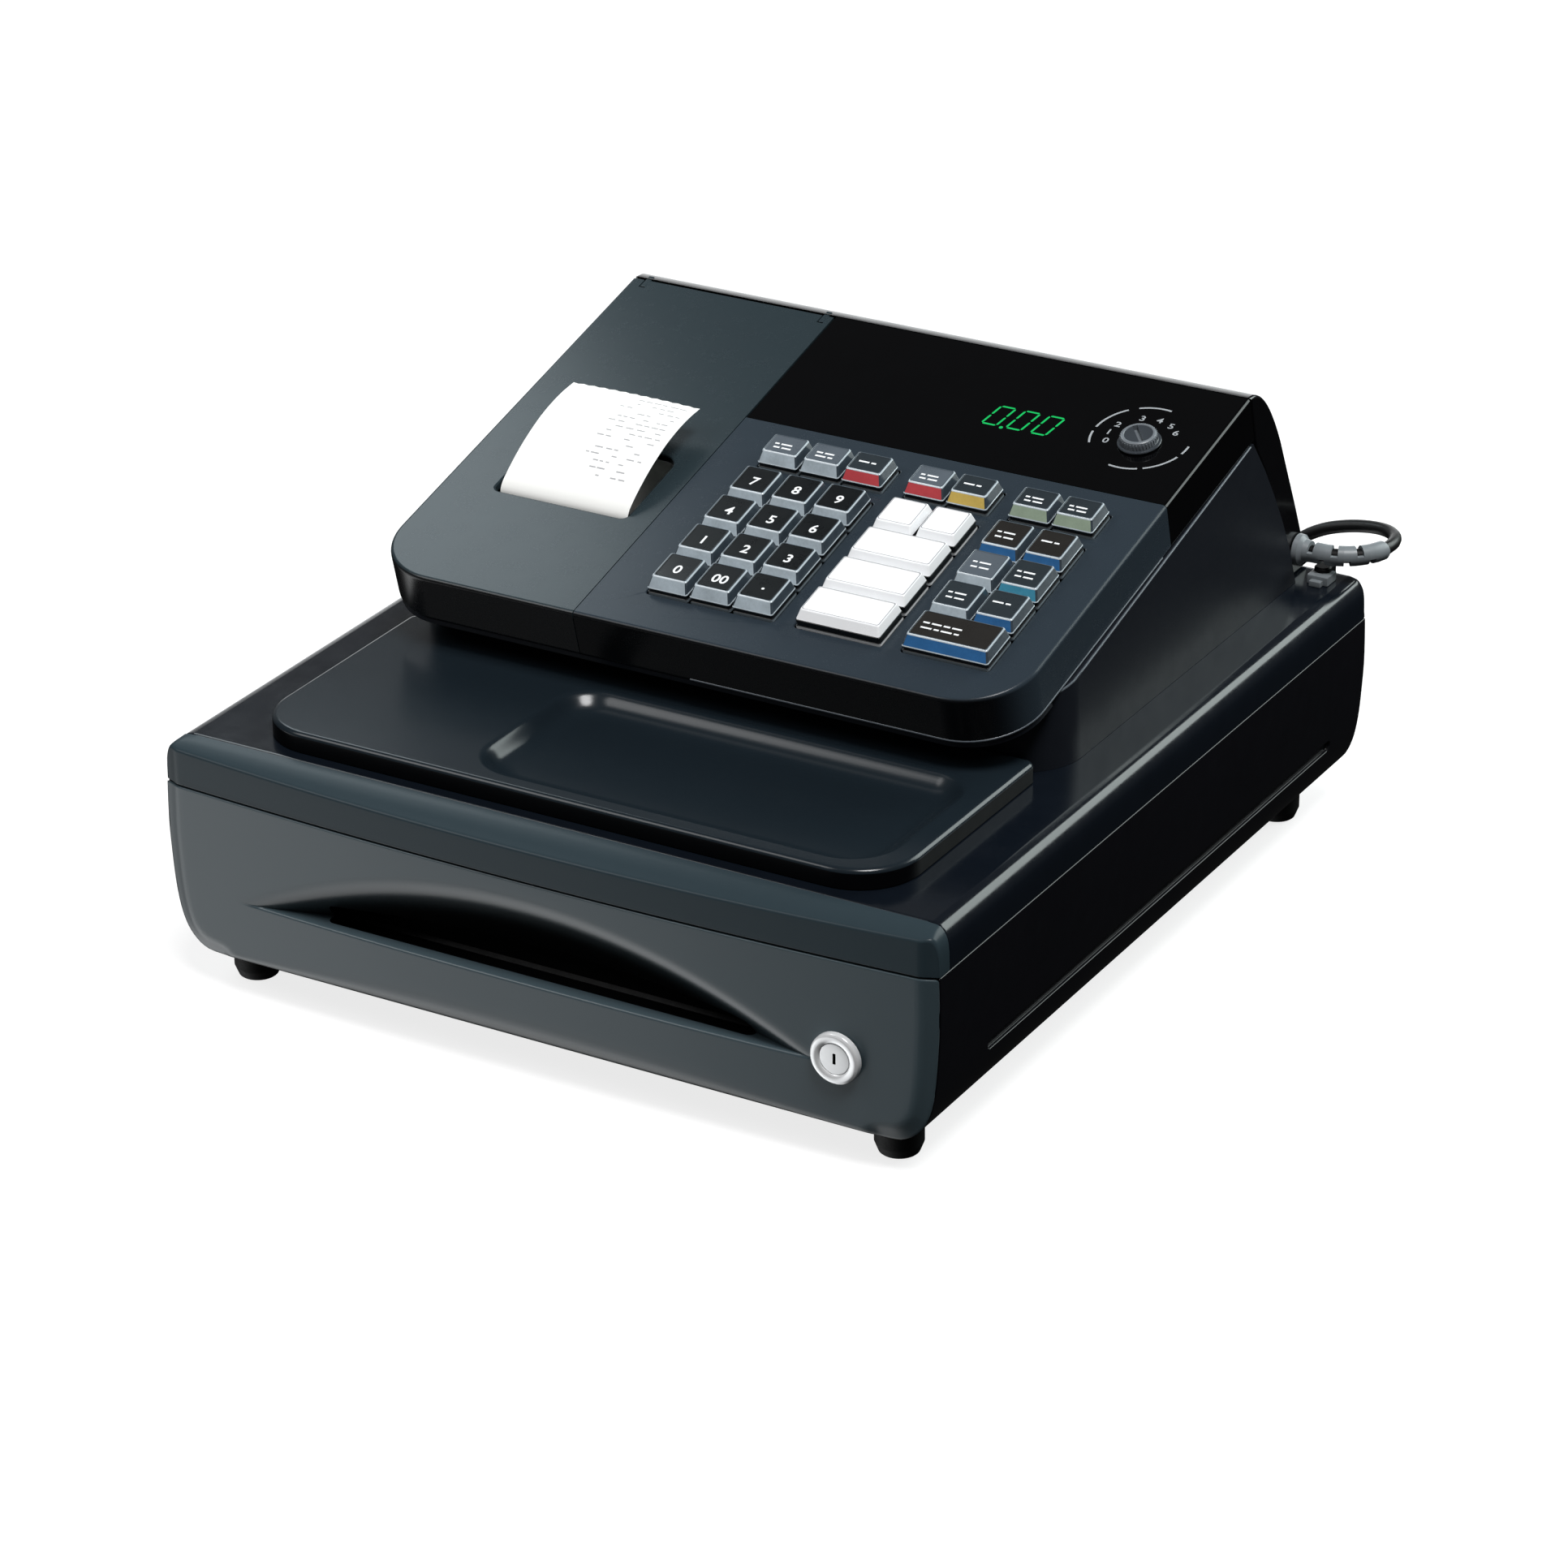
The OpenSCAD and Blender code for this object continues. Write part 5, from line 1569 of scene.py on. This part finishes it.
key("key_minus", COL_B[1], ROW_TOP, KW, KDT, "label_dark", "yellow", bars=1)
key("key_tax_1", COL_C[0], ROW_TOP, KW, KDT, "label_dark", "green", bars=2)
key("key_tax_2", COL_C[1], ROW_TOP, KW, KDT, "label_dark", "green", bars=2)
key("key_charge", COL_C[0], ROW[3], KW, KD, "label_brown", "blue", bars=2)
key("key_check", COL_C[1], ROW[3], KW, KD, "label_brown", "blue", bars=1)
key("key_no_sale", COL_C[0], ROW[2], KW, KD, "label_grey", "front", bars=2)
key("key_paid_out", COL_C[1], ROW[2], KW, KD, "label_dark", "teal", bars=2)
key("key_received", COL_C[0], ROW[1], KW, KD, "label_dark", "front", bars=2)
key("key_balance", COL_C[1], ROW[1], KW, KD, "label_dark", "blue", bars=1)
key("key_total", MID_C, ROW[0], WIDE, KD, "label_brown", "blue", bars=3)


# ---------------------------------------------------------------- display and dial
def display_print():
    b = Build()
    # seven-segment digits, slanted, behind the gloss
    SEG = {"0": "abcdef", "1": "bc", "2": "abged", "3": "abgcd", "4": "fgbc", "5": "afgcd", "6": "afgedc", "7": "abc", "8": "abcdefg", "9": "abcdfg"}
    Wd, Hd, t = 6.2, 12.0, 0.85

    def seg(cx, s):
        h = Hd / 2
        x0, x1 = -Wd / 2, Wd / 2
        g = 0.28
        q = t / 2

        def hbar(y):
            return [(x0 + g, y), (x0 + g + q, y + q), (x1 - g - q, y + q), (x1 - g, y), (x1 - g - q, y - q), (x0 + g + q, y - q)]

        def vbar(x, ya, yb):
            return [(x, ya + g), (x + q, ya + g + q), (x + q, yb - g - q), (x, yb - g), (x - q, yb - g - q), (x - q, ya + g + q)]
        return {"a": hbar(h), "g": hbar(0), "d": hbar(-h), "b": vbar(x1, 0, h), "c": vbar(x1, -h, 0), "f": vbar(x0, 0, h), "e": vbar(x0, -h, 0)}[s]
    for k, ch in enumerate("000"):
        cu_ = 49.6 + 10.4 * k
        for s in SEG[ch]:
            p = seg(0, s)
            add_flat(b, p, [list(range(len(p)))], lambda x, y, h: slope(cu_ + x + y * 0.2, 162 + y, h), 0.03, 0.04, 0)
    dot = [(math.cos(2 * math.pi * i / 12) * 0.8, math.sin(2 * math.pi * i / 12) * 0.8) for i in range(12)]
    add_flat(b, dot, [list(range(12))], lambda x, y, h: slope(49.6 + 5.2 - 0.9 + x, 155.4 + y, h), 0.03, 0.04, 0)
    b.done("display_digits", M["digits"], "register", (), sharp=40, weighted=False)
    b = Build()
    cx, cv = 107.7, 165.9

    def arc(a0, a1, r=19.5, t=0.42):
        n = max(3, int(abs(a1 - a0) / 4))
        pts = [(r + t) * 1.0 for _ in range(1)]
        vs = []
        for i in range(n + 1):
            a = rad(a0 + (a1 - a0) * i / n)
            vs.append(((r + t) * math.cos(a), (r + t) * math.sin(a)))
        for i in range(n, -1, -1):
            a = rad(a0 + (a1 - a0) * i / n)
            vs.append(((r - t) * math.cos(a), (r - t) * math.sin(a)))
        m = 2 * (n + 1)
        fs = [[i, i + 1, m - 2 - i, m - 1 - i] for i in range(n)]
        add_flat(b, vs, fs, lambda x, y, h: slope(cx + x, cv + y, h), 0.03, 0.04, 0)
    for a0, a1 in ((80, 118), (130, 176), (184, 206), (258, 292), (298, 340), (347, 362)):
        arc(a0, a1)
    for i, a in enumerate((205, 180, 155, 112, 82, 56, 34)):
        vs, fs = text_loops(str(i), 4.4, 0.06)
        ca, sa = math.cos(rad(a)), math.sin(rad(a))
        add_flat(b, vs, fs, lambda x, y, h: slope(cx + 13.4 * ca + x * 1.15, cv + 12.6 * sa + y, h), 0.03, 0.04, 0)
    b.done("dial_marks", M["mark"], "register", (), sharp=40, weighted=False)


display_print()


def dial():
    b = Build()
    c = slope(108.5, 163, 0)
    prof = [(0, -9), (6.2, -9), (6.4, -8.8), (6.4, -7.2), (6.2, -7), (5, -7), (5, 0.3), (8.0, 0.3), (8.35, 0.5), (8.4, 0.8), (8.2, 1.1), (7.3, 1.25), (7.1, 1.5), (6.95, 3.6), (6.75, 4.15), (6.3, 4.45), (5.9, 4.5), (5.6, 4.42), (5.45, 4.2), (0, 4.2)]
    b.lathe(prof, tuple(UP), c, 64, mats=[1] * 12 + [0] * 6 + [1, 1, 1])
    ob = raw(b, "dial_knob", [M["dial"], M["dial_top"]])
    t = Build()
    # the slot in the dial's top is painted dark as shade
    t.box(-1.0, 1.0, -5.5, 5.5, 2.2, 7, 0, lambda x, y, z: slope(108.5 + x * math.cos(rad(40)) - y * math.sin(rad(40)), 163 + x * math.sin(rad(40)) + y * math.cos(rad(40)), z))
    cut(ob, raw(t, mats=[M["dark"], M["dark"]]))
    # fine grip ribs round the side
    finish_mesh(ob, "dial", ("mode_dial",), sharp=32)
    b = Build()
    for i in range(36):
        a = 2 * math.pi * i / 36
        ca, sa = math.cos(a), math.sin(a)
        b.box(6.85, 7.25, -0.2, 0.2, 1.5, 3.7, 0.1, lambda x, y, z: slope(108.5 + x * ca - y * sa, 163 + x * sa + y * ca, z))
    b.done("dial_ribs", M["dial"], "dial", (), sharp=40)


dial()


# ---------------------------------------------------------------- receipt
def receipt():
    rec = [(58.4, -7), (58.5, -2.6), (59.2, -0.2), (61.2, 1.7), (65.2, 3.7), (71, 6.0), (77, 8.0), (84, 9.8), (92, 11.3), (101, 12), (109, 11.9), (117, 11.0)]
    line = [(p.x, p.y) for p in catmull([(v, w, 0) for v, w in rec], 1.2)]
    n = 24
    us = [-111 + 56.5 * i / n for i in range(n + 1)]
    total = len(line)

    def pt(i, k, off):
        v, w = line[i]
        a, c = line[max(i - 1, 0)], line[min(i + 1, total - 1)]
        tv, tw = c[0] - a[0], c[1] - a[1]
        ln = math.hypot(tv, tw)
        s = i / (total - 1)
        x = (us[k] - (-82.75)) / 28.25
        lift = -0.55 * s * s * x * x
        return slope(us[k], v + tw / ln * off, w - tv / ln * off + lift)
    b = Build()
    top = [b.ring([pt(i, k, 0.0) for k in range(n + 1)]) for i in range(total)]
    bot = [b.ring([pt(i, k, 0.16) for k in range(n + 1)]) for i in range(total)]
    # torn end, along the teeth
    for k, vtx in enumerate(top[-1]):
        if k % 2:
            for row_ in (top[-1], bot[-1]):
                row_[k].co -= (BACKV * 0.45) * MM
    b.skin(top, closed=False)
    b.skin(bot, closed=False)
    b.skin([top[0], bot[0]], closed=False)
    b.skin([top[-1], bot[-1]], closed=False)
    for k in (0, n):
        b.skin([[r[k] for r in top], [r[k] for r in bot]], closed=False)
    # rows of generic print, as short dashes
    import random
    rnd = random.Random(5)

    def where(s, x, off):
        f = s * (total - 1)
        i = min(int(f), total - 2)
        t = f - i
        k = min(max((x + 111) / 56.5 * n, 0), n - 1e-6)
        k0 = int(k)
        tk = k - k0
        a = Vector(pt(i, k0, off)).lerp(Vector(pt(i, k0 + 1, off)), tk)
        c = Vector(pt(i + 1, k0, off)).lerp(Vector(pt(i + 1, k0 + 1, off)), tk)
        return a.lerp(c, t)
    rows = 15
    for r in range(rows):
        s = 0.30 + 0.64 * r / (rows - 1)
        x = -84.0 + (r % 3) * 2.4
        while x < -58.5:
            ln = rnd.uniform(1.4, 3.6)
            if rnd.random() < 0.72 and x + ln < -57.8:
                ds = 0.008
                vs = [b.bm.verts.new(where(s + a * ds, x + c * ln, -0.03) * MM) for a, c in ((0, 0), (0, 1), (1, 1), (1, 0))]
                ws = [b.bm.verts.new(where(s + a * ds, x + c * ln, 0.0) * MM) for a, c in ((0, 0), (0, 1), (1, 1), (1, 0))]
                b.face(vs, 1)
                b.face(list(reversed(ws)), 1)
                for i in range(4):
                    b.face([vs[i], vs[(i + 1) % 4], ws[(i + 1) % 4], ws[i]], 1)
            x += ln + rnd.uniform(0.6, 1.6)
    b.done("receipt_paper", [M["paper"], M["faint"]], "printer_lid", ("receipt",), sharp=50, merge=0.0005, weighted=False)


receipt()


# ---------------------------------------------------------------- lock
def lock():
    c = (124, 0, 43.4)
    b = Build()
    ax = (0, -1, 0)
    prof = [(6.08, 152), (7.8, 152), (8, 152.2), (8, 174.4), (9.5, 174.4), (9.8, 174.7), (9.8, 176.2), (9.6, 176.75), (9.1, 177.15), (8.5, 177.3), (7.6, 177.28), (6.9, 177.15), (6.4, 176.95), (6.15, 176.7), (6.08, 176.4), (6.08, 152)]
    b.lathe(prof, ax, c, 64)
    b.done("lock_ring", M["chrome"], "drawer", ("lock_bezel",), sharp=30)
    b = Build()
    b.lathe([(0, 151), (5.8, 151), (6, 151.2), (6, 176.3), (5.9, 176.55), (5.6, 176.66), (2.6, 176.7), (0, 176.7)], ax, c, 56)
    ob = raw(b, "lock_core", [M["chrome2"], M["dark"]])
    t = Build()
    # the keyhole is painted dark as shade
    t.box(124 - 0.6, 124 + 0.6, -178, -168, 41.4, 45.6, 0.2)
    cut(ob, raw(t, mats=[M["dark"], M["dark"]]))
    finish_mesh(ob, "lock", ("lock_plug",), sharp=30)
    b = Build()
    b.lathe([(0, 147.2), (5.8, 147.2), (6, 147.4), (6, 151.2), (0, 151.2)], ax, c, 32)
    b.box(124 - 23.6, 124, -150, -147.2, 39.4, 47.4, 0.3)
    b.done("lock_tongue", M["steel"], "lock", (), sharp=35)


lock()


# ---------------------------------------------------------------- cord clip on the deck
b = Build()
b.box(143.0, 152.0, 160.0, 168.5, 98.02, 101.8, 0.7)
b.box(145.0, 150.0, 157.6, 160.4, 98.02, 100.4, 0.5)
b.done("cord_clip_base", M["relief"], "register", (), sharp=40)
b = Build()
b.lathe([(0, 101.5), (3.4, 101.5), (3.4, 103.2), (2.8, 103.8), (0, 103.8)], (0, 0, 1), (147.0, 166.5, 0), 28)
b.box(143.6, 150.4, 166.4, 171.6, 98.02, 103.4, 0.6)
b.done("cord_clip_post", M["dark"], "register", (), sharp=40)


# ---------------------------------------------------------------- plug at the end of the cord
def plug():
    b = Build()
    rings = []
    for x, hy, hz, r in ((-14.2, 3.3, 3.3, 3.2), (-14.6, 3.7, 3.7, 3.6), (-19, 4.1, 4.0, 3.9), (-22, 4.6, 4.3, 4.2), (-25, 6.2, 4.9, 4.6), (-28, 9.0, 5.8, 5.2), (-31, 11.4, 6.4, 5.4), (-34, 12.6, 6.7, 5.0),
                         (-38, 13.0, 6.8, 4.4), (-44.4, 13.0, 6.8, 4.2), (-45.4, 12.7, 6.5, 4.0), (-45.9, 12.1, 5.9, 3.6), (-46, 11.4, 5.2, 3.0)):
        rings.append(b.ring([(x, 208 + y, 7 + z) for y, z in rrect(-hy, hy, -hz, hz, min(r, hz - 0.05), None, 6)]))
    b.skin(rings)
    b.cap(rings[0], flip=True)
    b.cap(rings[-1])
    for s in (-1, 1):
        for i in range(5):
            x = -33.0 - 2.1 * i
            b.box(x - 0.45, x + 0.45, 208 - 6.5, 208 + 6.5, 7 + s * 6.65 - 0.35, 7 + s * 6.65 + 0.35 * (0.4 if s > 0 else 0.3), 0.12)
    body = b.done("plug_moulding", M["plug"], "register", ("plug",), sharp=35)
    b = Build()
    for y in (198.5, 217.5):
        b.lathe([(0, 45.6), (2.0, 45.6), (2.0, 54), (1.86, 54.05), (1.86, 62.6), (1.5, 63.5), (0.8, 64), (0, 64)], (-1, 0, 0), (0, y, 7), 24, mats=[0, 0, 1, 1, 1, 1, 1])
    pins = b.done("plug_pins", [M["plug"], M["pin"]], "register", (), sharp=35)
    return [body, pins]


plug_parts = plug()

# ---------------------------------------------------------------- parts that the CAD solid already shows well
PLAIN = {"drawer_box": "drawer", "till_insert": "till", "note_clip_left": "clip", "note_clip_middle": "clip", "note_clip_right": "clip",
         "drawer_latch": "steel", "printer_mechanism": "mech", "platen_roller": "roller", "paper_roll": "paper", "main_board": "board"}
for nm, mk in PLAIN.items():
    ob = NODES[nm]
    for s in ob.material_slots:
        s.material = M[mk]

# ---------------------------------------------------------------- floor and light
def floor():
    me = bpy.data.meshes.new("floor")
    me.from_pydata([(-9, -9, -0.0002), (9, -9, -0.0002), (9, 9, -0.0002), (-9, 9, -0.0002)], [], [(0, 1, 2, 3)])
    ob = bpy.data.objects.new("floor", me)
    m = Nodes("floor_paint")
    n = m.noise(2.0, 3.0)
    m.link(m.mix(n, (0.29, 0.29, 0.29), (0.31, 0.31, 0.31)), m.b.inputs["Base Color"])
    m.b.inputs["Emission Color"].default_value = (1, 1, 1, 1)
    m.b.inputs["Emission Strength"].default_value = 0.8
    m.link(m.maprange(m.noise(60, 2.0), 0, 1, 0.85, 0.95), m.b.inputs["Roughness"])
    m.b.inputs["Specular IOR Level"].default_value = 0.1
    me.materials.append(m.mat)
    ob.visible_glossy = False
    ob.visible_diffuse = False
    KEEP_OUT.objects.link(ob)


floor()


def area(name, at, aim, size, power, size_y=None, color=(1, 1, 1)):
    d = bpy.data.lights.new(name, "AREA")
    d.energy = power
    d.color = color
    d.shape = "RECTANGLE" if size_y else "SQUARE"
    d.size = size
    if size_y:
        d.size_y = size_y
    o = bpy.data.objects.new(name, d)
    v = Vector(aim) - Vector(at)
    o.matrix_world = Matrix.Translation(Vector(at)) @ v.to_track_quat("-Z", "Y").to_matrix().to_4x4()
    KEEP_OUT.objects.link(o)
    return o


def sun(name, direction, strength, angle, color=(1, 1, 1)):
    d = bpy.data.lights.new(name, "SUN")
    d.energy = strength
    d.angle = rad(angle)
    d.color = color
    o = bpy.data.objects.new(name, d)
    o.matrix_world = (-Vector(direction)).to_track_quat("-Z", "Y").to_matrix().to_4x4()
    KEEP_OUT.objects.link(o)
    return o


sun("key_sun", (0.3, -0.22, 0.93), 2.7, 22)
area("soft_left", (-0.50, 0.25, 0.60), (-0.13, -0.05, 0.15), 0.26, 0.75, color=(0.86, 0.96, 1.0))
area("soft_front", (-0.95, -1.0, 1.45), (0, 0, 0.08), 0.8, 9)
area("soft_rear_right", (0.77, 1.16, 0.875), (0.1, 0, 0.1), 1.0, 16, size_y=0.95, color=(0.9, 1.0, 0.98))

world = bpy.data.worlds.new("studio")
bpy.context.scene.world = world
world.use_nodes = True
nt = world.node_tree
nt.nodes.clear()
wo = nt.nodes.new("ShaderNodeOutputWorld")
bg = nt.nodes.new("ShaderNodeBackground")
tcw = nt.nodes.new("ShaderNodeTexCoord")
sep = nt.nodes.new("ShaderNodeSeparateXYZ")
nt.links.new(tcw.outputs["Generated"], sep.inputs[0])


def wmap(src, a, b, c, d):
    n = nt.nodes.new("ShaderNodeMapRange")
    n.interpolation_type = "SMOOTHSTEP"
    for k, v in zip(("From Min", "From Max", "To Min", "To Max"), (a, b, c, d)):
        n.inputs[k].default_value = v
    nt.links.new(src, n.inputs["Value"])
    return n.outputs["Result"]


def wadd(a, b):
    n = nt.nodes.new("ShaderNodeMath")
    n.operation = "ADD"
    nt.links.new(a, n.inputs[0])
    nt.links.new(b, n.inputs[1])
    return n.outputs[0]


def lobe(direction, lo, hi, power):
    """A soft patch of light in the studio's surroundings."""
    n = nt.nodes.new("ShaderNodeVectorMath")
    n.operation = "DOT_PRODUCT"
    nt.links.new(tcw.outputs["Generated"], n.inputs[0])
    n.inputs[1].default_value = Vector(direction).normalized()
    return wmap(n.outputs["Value"], lo, hi, 0, power)


total = wmap(sep.outputs["Z"], -0.35, 0.15, 0.012, 0.075)
total = wadd(total, lobe((-0.72, -0.5, -0.5), 0.82, 1.0, 1.9))
total = wadd(total, lobe((-0.45, 0.89, -0.06), 0.93, 0.99, 2.2))
total = wadd(total, lobe((-0.52, -0.18, -0.83), 0.86, 1.0, 1.5))
total = wadd(total, lobe((-0.75, 0.62, 0.25), 0.84, 1.0, 0.14))
nt.links.new(total, bg.inputs["Strength"])
bg.inputs["Color"].default_value = (0.97, 0.99, 1.0, 1)
nt.links.new(bg.outputs[0], wo.inputs["Surface"])

bpy.context.scene.view_settings.view_transform = "Standard"
bpy.context.scene.view_settings.look = "None"
bpy.context.scene.view_settings.exposure = 0.0
bpy.context.scene.view_settings.gamma = 1.0
